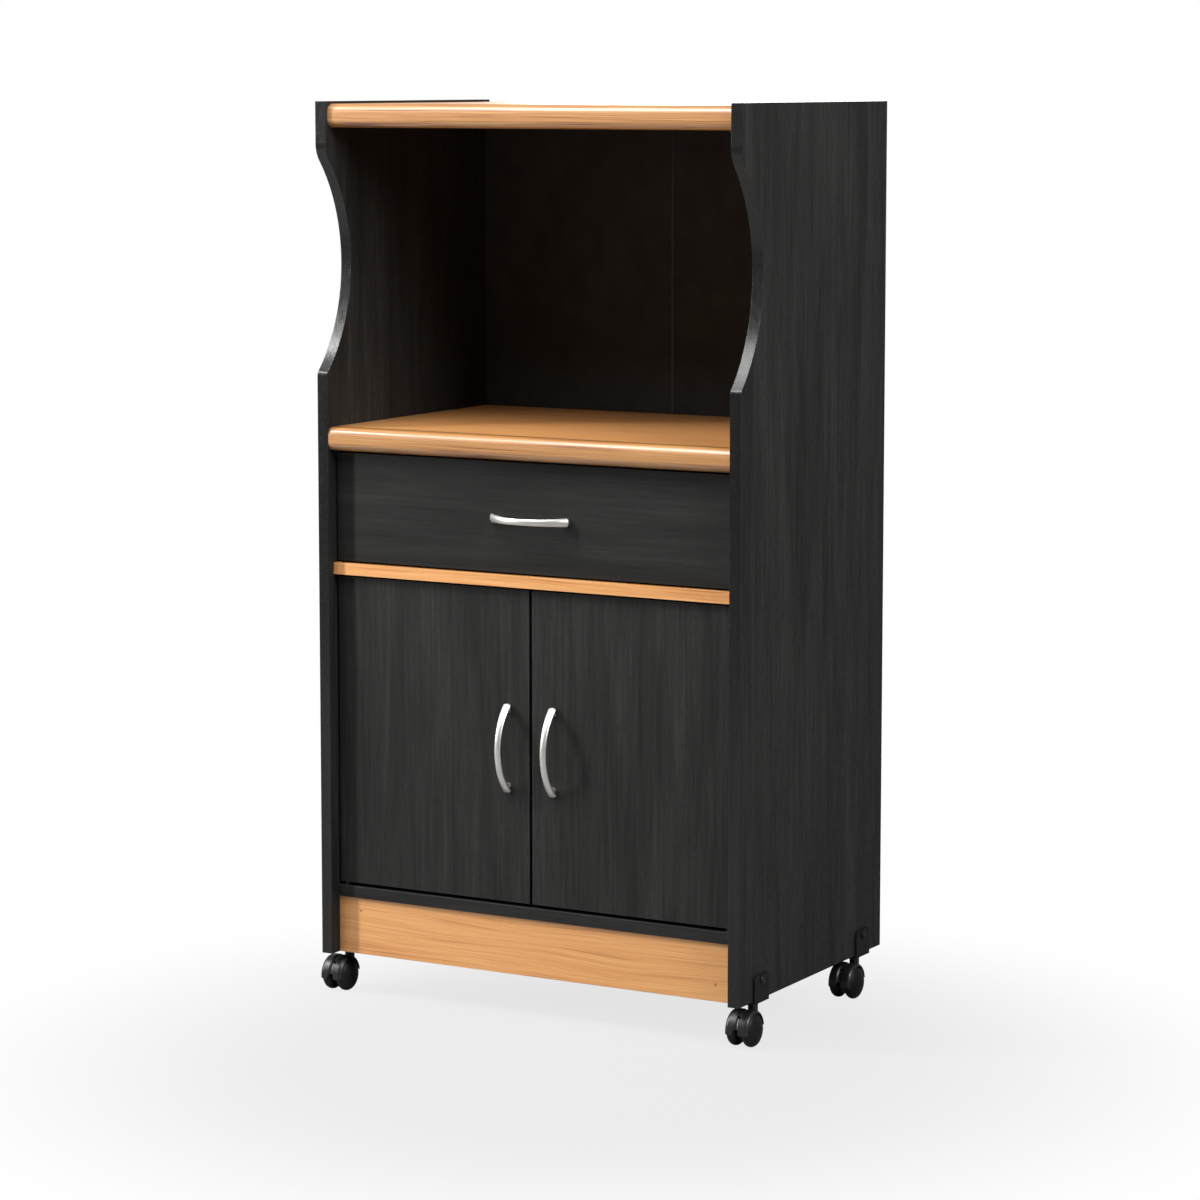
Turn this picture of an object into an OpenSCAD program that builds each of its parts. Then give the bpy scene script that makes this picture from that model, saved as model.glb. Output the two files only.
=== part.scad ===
// Mobile microwave cart. Two side panels with a swept cut-out at the front carry a top
// board, a worktop, a divider and a bottom board. One drawer runs on roller runners
// under the worktop, two inset doors turn on pins below it, and the cart stands on
// four swivelling twin-wheel casters held by brackets under the side panels.
// Units are millimetres. +Z is up, the front faces -Y and +X is the right-hand side.
// The origin is on the floor, below the middle of the whole outline.

/* [Cabinet] */
// Width over the outer faces of the side panels
body_w = 610; // [500:1:740]
// Depth of the side panels, front edge to back edge
body_d = 400; // [330:1:480]
// Height of the side panels, without the casters
body_h = 1100; // [900:1:1320]
// Thickness of the laminated boards
board_t = 15; // [14:0.5:19]
// Thickness of the hardboard back
back_t = 3; // [2:0.5:5]

/* [Levels] */
// Height of the plinth, up to the underside of the bottom board
plinth_h = 74; // [60:1:110]
// Clear height of the cupboard
cupboard_h = 407; // [320:1:480]
// Clear height between the divider and the worktop nosing
drawer_bay_h = 145; // [130:1:180]
// Height of the two rounded nosings
nosing_h = 30; // [24:1:38]
// How far the top board lies below the top of the side panels
top_drop = 3; // [0:0.5:10]
// Height of the loose shelf's underside above the bottom board
shelf_lift = 180; // [120:1:240]

/* [Setbacks behind the front edges of the side panels] */
// Front of the top nosing
top_setback = 4.5; // [0:0.5:12]
// Front of the worktop nosing
worktop_setback = 0.5; // [0:0.5:12]
// Front edge of the divider
divider_setback = 11; // [4:0.5:16]
// Front edge of the bottom board
bottom_setback = 16; // [10:0.5:22]
// Front face of the plinth
plinth_setback = 19; // [10:0.5:24]
// Front faces of the doors and of the drawer front
door_setback = 18; // [12:0.5:24]

/* [Side panel cut-out] */
// Start of the cut-out below the top of the side panel
arch_start = 66; // [40:1:90]
// Length of the cut-out along the front edge
arch_len = 279; // [220:1:340]
// Depth of the cut-out at its middle
arch_depth = 57; // [30:1:75]
// Rounding of its upper corner
arch_top_round = 34; // [4:1:50]
// Rounding of its lower corner
arch_foot_round = 8; // [2:1:30]

/* [Nosings] */
// Depth of the nosings, front to back
nosing_d = 22; // [16:1:30]
// Rounding of their upper and lower front edges
nosing_round = 11; // [6:0.5:12]

/* [Doors] */
// Gap between a door and its side panel
door_side_gap = 3; // [3:0.5:5]
// Gap between the two doors
door_mid_gap = 4.5; // [2:0.5:6]
// Gap above the doors
door_top_gap = 3; // [1.5:0.5:4]
// Gap below the doors
door_foot_gap = 4.5; // [2.5:0.5:6]
// Distance from a door's outer edge to its pivot pins
pivot_inset = 7; // [6:0.5:8]
// Distance from a door's front face to its pivot pins
pivot_depth = 6; // [5:0.5:7]
// Diameter of the pivot pins
pivot_d = 5; // [4:0.5:5]
// Length of each pivot pin inside the door
pivot_grip = 20; // [14:1:30]

/* [Drawer] */
// Gap between the drawer front and each side panel
drawer_side_gap = 2.5; // [2:0.5:5]
// Gap above the drawer front
drawer_top_gap = 3; // [1.5:0.5:5]
// Gap below the drawer front
drawer_foot_gap = 2.5; // [1.5:0.5:5]
// Thickness of the drawer's sides and back
drawer_wall_t = 12; // [10:0.5:15]
// Height of the drawer's sides
drawer_side_h = 100; // [80:1:112]
// Thickness of the drawer's bottom
drawer_bottom_t = 3; // [2:0.5:4]
// Space for a runner between a side panel and the drawer
runner_gap = 12.5; // [12.5:0.5:14]
// Height of the runners' underside above the divider
runner_lift = 10; // [4:1:16]
// Diameter of the runners' rollers
roller_d = 17; // [14:0.5:20]
// Thickness of the runners' rolled steel
sheet_t = 1.2; // [0.8:0.1:1.5]

/* [Handles] */
// Overall length of a bow handle
handle_l = 114; // [106:1:140]
// How far a handle stands out of its front
handle_reach = 29; // [24:1:36]
// Distance between a handle's two screws
handle_pitch = 96; // [90:1:100]
// Width of the bow at its middle
handle_w = 8.5; // [7:0.5:12]
// Width of the bow at its ends
handle_end_w = 11; // [9:0.5:14]
// Thickness of the bow
handle_t = 5.5; // [4.5:0.5:8]
// Distance from the middle of the cart to a door handle
handle_offset = 33; // [24:1:60]

/* [Casters] */
// Diameter of a caster wheel
wheel_d = 42; // [34:1:50]
// Width of a wheel, from its inner face to the middle of its domed outer face
wheel_w = 18; // [15:0.1:20]
// Distance from the swivel axis to the axle
caster_trail = 22; // [19:1:28]
// Width of the hood over both wheels
hood_w = 32; // [30:1:36]
// Space between the wheels and the hood
hood_gap = 2.4; // [1.5:0.1:4]
// Height of the bare neck between the hood and the bracket
neck_h = 5; // [4:0.1:14]
// Diameter of the swivel stem
stem_d = 8; // [6:0.5:9]
// Distance from the panel's front or back edge to the middle of a bracket
caster_inset = 57; // [45:1:80]
// How far the swivel axis stands ahead of the middle of its bracket
stem_ahead = 4; // [0:0.5:6]
// Width of a caster bracket along the panel
bracket_w = 38; // [36:1:50]
// Height of a bracket on the outer face of the panel
bracket_h = 32; // [30:1:50]
// Thickness of a bracket
bracket_t = 3; // [2:0.5:4]

/* [Hidden] */
$fn = 64;

// Clearances that several pieces share
over = 1;          // how far a cut runs past the face it opens
fit = 0.1;         // radial clearance of a fixed pin, screw or plug in its hole
run = 0.05;        // radial clearance of a turning pin in its bore
seat = 0.3;        // gap between faces of pieces that move past each other

// Colours
black_wood = "#333332";
beech = "#dca56c";
hardboard = "#1d1c1b";
black_plastic = "#1e1e1f";
black_steel = "#262626";
satin_metal = "#c9c8c4";
zinc = "#b9bcbe";
coated_steel = "#d9d8d2";
nylon = "#e6e4dc";
dowel_wood = "#d8b98a";

// Places across the cart
outer_x = body_w / 2;
inner_x = outer_x - board_t;
inner_w = 2 * inner_x;

// Places from front to back
handle_over = handle_reach - door_setback;
front_y = handle_over - (body_d + handle_over) / 2;
back_y = front_y + body_d;
door_y = front_y + door_setback;
door_back_y = door_y + board_t;
back_inset = 8;
back_face_y = back_y - back_inset - back_t;
back_gap = 1.2;
back_top_in = 6;
boards_end_y = back_face_y - back_gap;
plinth_y = front_y + plinth_setback;
rail_y = back_y - 45;

// Levels. Each one is the underside of its board
wheel_r = wheel_d / 2;
hood_t = 1.6;
hood_r = wheel_r + hood_gap + hood_t;
caster_h = wheel_r + hood_r + neck_h + bracket_t;
bottom_z = caster_h + plinth_h;
cupboard_z = bottom_z + board_t;
divider_z = cupboard_z + cupboard_h;
drawer_bay_z = divider_z + board_t;
nosing_z = drawer_bay_z + drawer_bay_h;
worktop_z = nosing_z + nosing_h - board_t;
top_z = caster_h + body_h - top_drop - board_t;
shelf_z = cupboard_z + shelf_lift;

// ---------- Values the drawer and its runners share ----------

screw_d = 3.5;
screw_l = 11;
drawer_x = inner_x - runner_gap;
drawer_end_gap = 4;
drawer_end_y = boards_end_y - drawer_end_gap;
drawer_l = drawer_end_y - door_back_y;
runner_z = drawer_bay_z + runner_lift;
runner_y = door_back_y + 2;
runner_end_y = drawer_end_y - 1;
lip_w = 10;
roller_w = 7.5;
roller_bore = 4;
rail_play = 0.6;
roller_z = runner_z + sheet_t + seat + roller_d / 2;
flange_z = roller_z + roller_d / 2 + seat;
channel_h = flange_z + sheet_t + rail_play + sheet_t - runner_z;
front_roller_y = runner_y + roller_d / 2 + 3;
rear_roller_y = runner_end_y - roller_d / 2 - 2;
front_roller_x = sheet_t + 0.5;
rear_roller_x = runner_gap - sheet_t - 0.7 - roller_w;
tray_w = 12;
runner_screw_ys = [runner_y + 42, (runner_y + runner_end_y) / 2, runner_end_y - 45];
drawer_runner_screw_l = 9;
screw_head_h = 1;
drawer_z = runner_z + sheet_t + 3;

// ---------- Small shapes used in several places ----------

// Repeats its children on the right and, mirrored, on the left
module both_sides() {
    for (side = [0, 1])
        mirror([side, 0, 0]) children();
}

// A profile drawn as [front to back, height] and run along X
module along_x(length) {
    rotate([90, 0, 90]) linear_extrude(length) children();
}

// A rod along +X
module rod_x(d, length) {
    rotate([0, 90, 0]) cylinder(d = d, h = length);
}

// A rod along +Y
module rod_y(d, length) {
    rotate([-90, 0, 0]) cylinder(d = d, h = length);
}

// A pan head whose flat side lies at z = 0
module pan_head(d, h) {
    cylinder(d = d, h = h * 0.4);
    translate([0, 0, h * 0.4]) cylinder(d1 = d, d2 = d * 0.6, h = h * 0.6);
}

// A board between the side panels
module cross_board(y_front, y_back, z) {
    translate([-inner_x, y_front, z]) cube([inner_w, y_back - y_front, board_t]);
}

// ---------- Cam fasteners and dowels ----------
// Local frame of one joint: the board ends at x = 0, the side panel begins there, and
// the cam goes in from the board's face at z = 0.

cam_d = 15;
cam_depth = 11.5;
cam_reach = 24;
stud_d = 6.8;
stud_neck_d = 4;
stud_thread_d = 5;
stud_thread_l = 10;
dowel_d = 8;
dowel_out = 20;
dowel_in = 9;
cam_ys = [front_y + 60, back_y - 70];
dowel_y = (cam_ys[0] + cam_ys[1]) / 2;
rail_cam_z = caster_h + plinth_h / 2 + 14;
rail_dowel_z = caster_h + plinth_h / 2 - 18;

module cam_pocket() {
    translate([-cam_reach, 0, -over]) cylinder(d = cam_d + 2 * fit, h = cam_depth + fit + over);
    translate([-cam_reach, 0, board_t / 2]) rod_x(stud_d + 4 * fit, cam_reach + over);
}

module stud_hole() {
    translate([-over, 0, board_t / 2]) rod_x(stud_thread_d + 2 * fit, stud_thread_l + over + fit);
}

module cam_and_stud() {
    neck_x = -cam_reach + 4;
    difference() {
        translate([-cam_reach, 0, 0]) cylinder(d = cam_d, h = cam_depth);
        translate([-cam_reach - 1, 0, board_t / 2]) rod_x(stud_d + 4 * fit, cam_d);
        translate([-cam_reach, 0, -over]) cylinder(d = 5, h = 3 + over, $fn = 6);
    }
    translate([0, 0, board_t / 2]) {
        rod_x(stud_thread_d, stud_thread_l);
        translate([neck_x + 4, 0, 0]) rod_x(stud_d, -neck_x - 4);
        translate([neck_x, 0, 0]) rod_x(stud_neck_d, 4);
        translate([neck_x - 3.5, 0, 0]) rod_x(stud_d, 3.5);
    }
}

module dowel_hole() {
    translate([-dowel_out - fit, 0, board_t / 2])
        rod_x(dowel_d + 2 * fit, dowel_out + dowel_in + 2 * fit);
}

module dowel() {
    translate([-dowel_out, 0, board_t / 2]) rod_x(dowel_d, dowel_out + dowel_in);
}

// Puts children at the cams of the board whose underside is at z
module at_board_cams(z) {
    for (y = cam_ys)
        translate([inner_x, y, z]) children();
}

module at_board_dowel(z) {
    translate([inner_x, dowel_y, z]) children();
}

module at_plinth_joint(z) {
    translate([inner_x, plinth_y + board_t, z]) rotate([90, 0, 0]) children();
}

module at_rail_joint(z) {
    translate([inner_x, rail_y, z]) rotate([-90, 0, 0]) children();
}

// Every joint on the right-hand side
module at_all_cams() {
    for (z = [bottom_z, divider_z, worktop_z, top_z])
        at_board_cams(z) children();
    at_plinth_joint(rail_cam_z) children();
    at_rail_joint(rail_cam_z) children();
}

module at_all_dowels() {
    for (z = [bottom_z, divider_z, worktop_z, top_z])
        at_board_dowel(z) children();
    at_plinth_joint(rail_dowel_z) children();
    at_rail_joint(rail_dowel_z) children();
}

// The pockets of one horizontal board at both of its ends
module board_joint_cuts(z) {
    both_sides() {
        at_board_cams(z) cam_pocket();
        at_board_dowel(z) dowel_hole();
    }
}

module cam_fasteners() {
    color(zinc) both_sides() at_all_cams() cam_and_stud();
}

module dowels() {
    color(dowel_wood) both_sides() at_all_dowels() dowel();
}

// ---------- Side panels ----------

arch_r = (pow(arch_len / 2, 2) + pow(arch_depth, 2)) / (2 * arch_depth);
arch_c = [arch_depth - arch_r, body_h - arch_start - arch_len / 2];
groove_in = 7;
groove_w = back_t + 4 * fit;
shelf_pin_d = 5;
shelf_pin_in = 8;
shelf_pin_out = 9;
shelf_front_y = door_back_y + 10;
shelf_pin_ys = [shelf_front_y + 40, boards_end_y - 50];
shelf_steps = [-32, 0, 32];

// What the rounding at one end of the cut-out takes away, above or below its middle
module arch_corner(r, up) {
    rise = sqrt(pow(arch_r + r, 2) - pow(r - arch_c.x, 2));
    centre = [r, arch_c.y + up * rise];
    touch = arch_c + (centre - arch_c) * arch_r / (arch_r + r);
    difference() {
        polygon([[-over, centre.y], centre, touch, [-over, touch.y]]);
        translate(centre) circle(r = r);
    }
}

module side_outline() {
    difference() {
        square([body_d, body_h]);
        translate(arch_c) circle(r = arch_r, $fn = 180);
        arch_corner(arch_top_round, 1);
        arch_corner(arch_foot_round, -1);
    }
}

module side_panel() {
    color(black_wood) difference() {
        translate([inner_x, front_y, caster_h]) along_x(board_t) side_outline();
        translate([inner_x - over, back_face_y - 2 * fit, bottom_z - 2 * fit])
            cube([groove_in + over, groove_w, top_z + back_top_in - bottom_z + 4 * fit]);
        at_all_cams() stud_hole();
        at_all_dowels() dowel_hole();
        for (y = shelf_pin_ys, step = shelf_steps)
            translate([inner_x - over, y, shelf_z - shelf_pin_d / 2 + step])
                rod_x(shelf_pin_d + 2 * fit, shelf_pin_in + fit + over);
        at_runner_screws() translate([0, 0, -over])
            cylinder(d = screw_d + 2 * fit, h = screw_l + fit + over);
        at_casters_right() {
            translate([-board_t / 2 - over, stem_ahead, bolt_z])
                rod_x(sleeve_d + 2 * fit, board_t + 2 * over);
            translate([0, 0, -over]) cylinder(d = stem_head_d + 1, h = over + stem_head_h + 1.4);
            for (y = bracket_screw_ys)
                translate([0, y, -over]) cylinder(d = screw_d + 2 * fit, h = screw_l + over + fit);
        }
    }
}

module right_side_panel() {
    side_panel();
}

module left_side_panel() {
    mirror([1, 0, 0]) side_panel();
}

// ---------- Boards ----------

module top_board() {
    color(beech) difference() {
        cross_board(front_y + top_setback + nosing_d, back_y, top_z);
        board_joint_cuts(top_z);
        translate([-inner_x - over, back_face_y - 2 * fit, top_z - over])
            cube([inner_w + 2 * over, groove_w, back_top_in + 2 * fit + over]);
    }
}

module worktop_board() {
    color(beech) difference() {
        cross_board(front_y + worktop_setback + nosing_d, boards_end_y, worktop_z);
        board_joint_cuts(worktop_z);
    }
}

// Rounded front rail: both front edges are quarter rounds with a flat between them
module nosing(setback, z) {
    r = min(nosing_round, nosing_h / 2);
    color(beech) translate([-inner_x, front_y + setback, z]) along_x(inner_w) {
        translate([r, 0]) square([nosing_d - r, nosing_h]);
        translate([0, r]) square([r + 1, nosing_h - 2 * r + 0.001]);
        translate([r, r]) circle(r = r);
        translate([r, nosing_h - r]) circle(r = r);
    }
}

module top_nosing() {
    nosing(top_setback, top_z + board_t - nosing_h);
}

module worktop_nosing() {
    nosing(worktop_setback, nosing_z);
}

module divider_board() {
    color(beech) difference() {
        cross_board(front_y + divider_setback, boards_end_y, divider_z);
        board_joint_cuts(divider_z);
        both_sides() translate([pivot_x, pivot_y, divider_z - over])
            cylinder(d = bush_d + 2 * fit, h = bush_l + fit + over);
    }
}

module bottom_board() {
    color(black_wood) difference() {
        cross_board(front_y + bottom_setback, boards_end_y, bottom_z);
        board_joint_cuts(bottom_z);
        both_sides() translate([pivot_x, pivot_y, cupboard_z - bush_l - fit])
            cylinder(d = bush_d + 2 * fit, h = bush_l + fit + over);
    }
}

module front_plinth() {
    color(beech) difference() {
        translate([-inner_x, plinth_y, caster_h]) cube([inner_w, board_t, plinth_h]);
        both_sides() {
            at_plinth_joint(rail_cam_z) cam_pocket();
            at_plinth_joint(rail_dowel_z) dowel_hole();
        }
    }
}

module rear_rail() {
    color(black_wood) difference() {
        translate([-inner_x, rail_y, caster_h]) cube([inner_w, board_t, plinth_h]);
        both_sides() {
            at_rail_joint(rail_cam_z) cam_pocket();
            at_rail_joint(rail_dowel_z) dowel_hole();
        }
    }
}

// ---------- Back ----------

strip_web = 1.2;
strip_lip_t = 0.8;
strip_w = 5;
back_h = top_z + back_top_in - bottom_z;

module back_panels() {
    edge = strip_web / 2 + fit;
    color(hardboard) both_sides() translate([edge, back_face_y, bottom_z])
        cube([inner_x + groove_in - fit - edge, back_t, back_h]);
}

module back_joint_strip() {
    color(black_plastic) translate([0, back_face_y - fit - strip_lip_t, bottom_z])
        linear_extrude(top_z - bottom_z - fit) {
            translate([-strip_w / 2, 0]) square([strip_w, strip_lip_t]);
            translate([-strip_w / 2, strip_lip_t + back_t + 2 * fit]) square([strip_w, strip_lip_t]);
            translate([-strip_web / 2, 0]) square([strip_web, back_t + 2 * fit + 2 * strip_lip_t]);
        }
}

// ---------- Shelf ----------

shelf_side_gap = 1;

module cupboard_shelf() {
    color(black_wood) translate([-inner_x + shelf_side_gap, shelf_front_y, shelf_z])
        cube([inner_w - 2 * shelf_side_gap, boards_end_y - 2 - shelf_front_y, board_t]);
}

module shelf_pins() {
    color(zinc) both_sides() for (y = shelf_pin_ys)
        translate([inner_x - shelf_pin_out, y, shelf_z - shelf_pin_d / 2]) {
            rod_x(shelf_pin_d, shelf_pin_out + shelf_pin_in);
            translate([shelf_pin_out - 2.5, 0, -1.2]) rod_x(shelf_pin_d + 2, 2.5);
        }
}

// ---------- Doors ----------

door_w = (inner_w - 2 * door_side_gap - door_mid_gap) / 2;
door_h = cupboard_h - door_top_gap - door_foot_gap;
door_z = cupboard_z + door_foot_gap;
pivot_x = inner_x - door_side_gap - pivot_inset;
pivot_y = door_y + pivot_depth;
bush_d = pivot_d + 3;
bush_l = 9;
bush_flange_d = pivot_d + 6.5;
bush_flange_t = 1.2;
pin_in_bush = 7.5;
handle_z = door_z + door_h / 2 - 2.5;
strike_t = 1.5;
strike_w = 20;
strike_h = 12;
strike_x = door_mid_gap / 2 + 3;
strike_screw_l = 9;
catch_h = 14;

module handle_screw_holes(z) {
    for (along = [-1, 1])
        translate([0, door_y - over, z + along * handle_pitch / 2])
            rod_y(handle_screw_d + 4 * fit, board_t + 2 * over);
}

module door() {
    color(black_wood) difference() {
        translate([door_mid_gap / 2, door_y, door_z]) cube([door_w, board_t, door_h]);
        translate([pivot_x, pivot_y, door_z - over])
            cylinder(d = pivot_d + 2 * run, h = pivot_grip + fit + over);
        translate([pivot_x, pivot_y, door_z + door_h - pivot_grip - fit])
            cylinder(d = pivot_d + 2 * run, h = pivot_grip + fit + over);
        translate([handle_offset, 0, 0]) handle_screw_holes(handle_z);
        translate([strike_x + strike_w / 2, door_back_y - strike_screw_l - fit, strike_z + strike_h / 2])
            rod_y(screw_d + 2 * fit, strike_screw_l + fit + over);
    }
}

// Steel pins; the lower one has a collar that carries the door on its bush
module door_pivots() {
    collar_h = door_foot_gap - bush_flange_t - seat;
    color(black_steel) translate([pivot_x, pivot_y, 0]) {
        translate([0, 0, cupboard_z + bush_flange_t - pin_in_bush])
            cylinder(d = pivot_d, h = pin_in_bush - bush_flange_t + door_foot_gap + pivot_grip);
        translate([0, 0, door_z - collar_h]) cylinder(d = pivot_d + 4, h = collar_h);
        translate([0, 0, door_z + door_h - pivot_grip])
            cylinder(d = pivot_d, h = pivot_grip + door_top_gap - bush_flange_t + pin_in_bush);
    }
}

module bush() {
    difference() {
        union() {
            cylinder(d = bush_flange_d, h = bush_flange_t);
            translate([0, 0, -bush_l]) cylinder(d = bush_d, h = bush_l + 0.001);
        }
        translate([0, 0, -bush_l + 1]) cylinder(d = pivot_d + 2 * run, h = bush_l + bush_flange_t);
    }
}

module pivot_bushes() {
    color(black_plastic) both_sides() {
        translate([pivot_x, pivot_y, cupboard_z]) bush();
        translate([pivot_x, pivot_y, divider_z]) mirror([0, 0, 1]) bush();
    }
}

// Steel plate that the magnet holds, with its screw
strike_z = divider_z - catch_h / 2 - strike_h / 2;
module door_strike() {
    color(zinc) translate([strike_x, door_back_y, strike_z]) {
        cube([strike_w, strike_t, strike_h]);
        translate([strike_w / 2, -strike_screw_l, strike_h / 2])
            rod_y(screw_d, strike_screw_l + 0.001);
    }
}

// Twin magnet under the divider, one magnet behind each door
catch_w = 50;
catch_d = 15;
magnet_w = 14;
magnet_h = 6;
magnet_d = 12;
magnet_x = strike_x + (strike_w - magnet_w) / 2;
magnet_z = divider_z - catch_h / 2 - magnet_h / 2;
module magnetic_catch() {
    catch_y = door_back_y + strike_t + seat;
    color(black_plastic) difference() {
        translate([-catch_w / 2, catch_y, divider_z - catch_h]) cube([catch_w, catch_d, catch_h]);
        both_sides() translate([magnet_x - fit, catch_y - over, magnet_z - fit])
            cube([magnet_w + 2 * fit, magnet_d + fit + over, magnet_h + 2 * fit]);
    }
    color(zinc) both_sides() translate([magnet_x, catch_y, magnet_z])
        cube([magnet_w, magnet_d, magnet_h]);
}

module left_door() {
    mirror([1, 0, 0]) door();
}

module right_door() {
    door();
}

module left_door_pivots() {
    mirror([1, 0, 0]) door_pivots();
}

module right_door_pivots() {
    door_pivots();
}

module left_door_strike() {
    mirror([1, 0, 0]) door_strike();
}

module right_door_strike() {
    door_strike();
}

// ---------- Bow handles ----------
// Local frame: the handle lies along X on the plane y = 0 and stands out towards -Y.

handle_screw_d = 4;
handle_screw_in = 6;
handle_boss_d = 7.5;
tip_r = 0.56 * handle_t;
tip_l = 0.64 * handle_t;
tip_steps = 4;
tip_turn = 80;
bow_chord = handle_l - 2 * tip_r;
bow_rise = handle_reach - handle_t / 2 - tip_r;
bow_r = (pow(bow_chord / 2, 2) + pow(bow_rise, 2)) / (2 * bow_rise);
bow_half_angle = asin(bow_chord / 2 / bow_r);
bow_steps = 28;
bow_sides = 20;

// The bow as [angle from its middle, way past its end, size of the section], from tip to tip
bow_stations = [
    for (j = [tip_steps : -1 : 1])
        let (turn = tip_turn * j / tip_steps)
            [-bow_half_angle, -tip_l * sin(turn), cos(turn)],
    for (i = [0 : bow_steps])
        [bow_half_angle * (2 * i / bow_steps - 1), 0, 1],
    for (j = [1 : tip_steps])
        let (turn = tip_turn * j / tip_steps)
            [bow_half_angle, tip_l * sin(turn), cos(turn)]
];

// Centre of the section at angle a
function bow_centre(a) = [bow_r * sin(a), bow_r - bow_rise - tip_r - bow_r * cos(a), 0];

// Width of the section there: it widens towards both ends
function bow_width(a) = handle_w + (handle_end_w - handle_w) * pow(a / bow_half_angle, 2);

// One elliptical section
function bow_ring(station) = [
    for (j = [0 : bow_sides - 1])
        let (a = station[0], past = station[1], size = station[2], turn = 360 * j / bow_sides)
            bow_centre(a)
            + past * [cos(a), sin(a), 0]
            + size * handle_t / 2 * cos(turn) * [sin(a), -cos(a), 0]
            + size * bow_width(a) / 2 * sin(turn) * [0, 0, 1]
];

module bow() {
    last_ring = len(bow_stations) - 1;
    points = [for (station = bow_stations) each bow_ring(station)];
    walls = [
        for (i = [0 : last_ring - 1], j = [0 : bow_sides - 1])
            let (a = i * bow_sides + j, b = i * bow_sides + (j + 1) % bow_sides)
                [a, b, b + bow_sides, a + bow_sides]
    ];
    first = [[for (j = [bow_sides - 1 : -1 : 0]) j]];
    last = [[for (j = [0 : bow_sides - 1]) last_ring * bow_sides + j]];
    polyhedron(points, concat(walls, first, last), convexity = 4);
}

module bow_handle() {
    boss_l = bow_rise + tip_r - bow_r + sqrt(pow(bow_r, 2) - pow(handle_pitch / 2, 2));
    color(satin_metal) difference() {
        union() {
            intersection() {
                bow();
                translate([-handle_l, -2 * handle_reach, -handle_end_w])
                    cube([2 * handle_l, 2 * handle_reach, 2 * handle_end_w]);
            }
            for (end = [-1, 1])
                translate([end * handle_pitch / 2, -boss_l, 0]) rod_y(handle_boss_d, boss_l);
        }
        for (end = [-1, 1])
            translate([end * handle_pitch / 2, -handle_screw_in - fit, 0])
                rod_y(handle_screw_d + 2 * fit, handle_screw_in + fit + over);
    }
}

module handle_screws() {
    color(zinc) for (end = [-1, 1])
        translate([end * handle_pitch / 2, board_t, 0]) {
            translate([0, -board_t - handle_screw_in, 0])
                rod_y(handle_screw_d, board_t + handle_screw_in + 0.001);
            rotate([-90, 0, 0]) pan_head(8, 2.6);
        }
}

// Stands a handle upright on the right-hand door
module on_door() {
    translate([handle_offset, door_y, handle_z]) rotate([0, 90, 0]) children();
}

module right_door_handle() {
    on_door() bow_handle();
}

module right_door_handle_screws() {
    on_door() handle_screws();
}

module left_door_handle() {
    mirror([1, 0, 0]) on_door() bow_handle();
}

module left_door_handle_screws() {
    mirror([1, 0, 0]) on_door() handle_screws();
}

// ---------- Drawer ----------

drawer_front_z = drawer_bay_z + drawer_foot_gap;
drawer_front_h = nosing_z - drawer_top_gap - drawer_front_z;
drawer_front_w = inner_w - 2 * drawer_side_gap;
groove_up = 8;
groove_deep = 6;
bottom_slot = drawer_bottom_t + 2 * fit;
groove_x = drawer_x - drawer_wall_t + groove_deep + fit;
box_screw_l = 34;
drawer_cam_zs = [drawer_z + 28, drawer_z + drawer_side_h - 20];
drawer_screw_zs = [drawer_z + 34, drawer_z + drawer_side_h - 18];
drawer_handle_z = drawer_front_z + drawer_front_h / 2 - 1.5;
countersink_d = 2 * screw_d;
countersink_h = 2.2;

// Local frame of one cam of the drawer: x runs from the side into the drawer front
module at_drawer_cams() {
    for (z = drawer_cam_zs)
        translate([drawer_x - drawer_wall_t, door_back_y, z]) rotate([0, 0, -90]) rotate([-90, 0, 0])
            children();
}

drawer_cam_depth = 9.5;
drawer_stud_in = 8;

module drawer_cam_pocket() {
    translate([-cam_reach, 0, -over]) cylinder(d = cam_d + 2 * fit, h = drawer_cam_depth + fit + over);
    translate([-cam_reach, 0, drawer_wall_t / 2]) rod_x(stud_d + 4 * fit, cam_reach + over);
}

module drawer_stud_hole() {
    translate([-over, 0, drawer_wall_t / 2])
        rod_x(stud_thread_d + 2 * fit, drawer_stud_in + fit + over);
}

module drawer_cam() {
    difference() {
        translate([-cam_reach, 0, 0]) cylinder(d = cam_d, h = drawer_cam_depth);
        translate([-cam_reach - 1, 0, drawer_wall_t / 2]) rod_x(stud_d + 4 * fit, cam_d);
    }
    translate([0, 0, drawer_wall_t / 2]) {
        rod_x(stud_thread_d, drawer_stud_in);
        translate([-cam_reach + 8, 0, 0]) rod_x(stud_d, cam_reach - 8);
        translate([-cam_reach + 4, 0, 0]) rod_x(stud_neck_d, 4);
        translate([-cam_reach + 0.5, 0, 0]) rod_x(stud_d, 3.5);
    }
}

module drawer_front() {
    color(black_wood) difference() {
        translate([-drawer_front_w / 2, door_y, drawer_front_z])
            cube([drawer_front_w, board_t, drawer_front_h]);
        translate([-groove_x, door_back_y - groove_deep, drawer_z + groove_up])
            cube([2 * groove_x, groove_deep + over, bottom_slot]);
        for (end = [-1, 1])
            translate([end * handle_pitch / 2, door_y - over, drawer_handle_z])
                rod_y(handle_screw_d + 4 * fit, board_t + 2 * over);
        both_sides() at_drawer_cams() drawer_stud_hole();
    }
}

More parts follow.
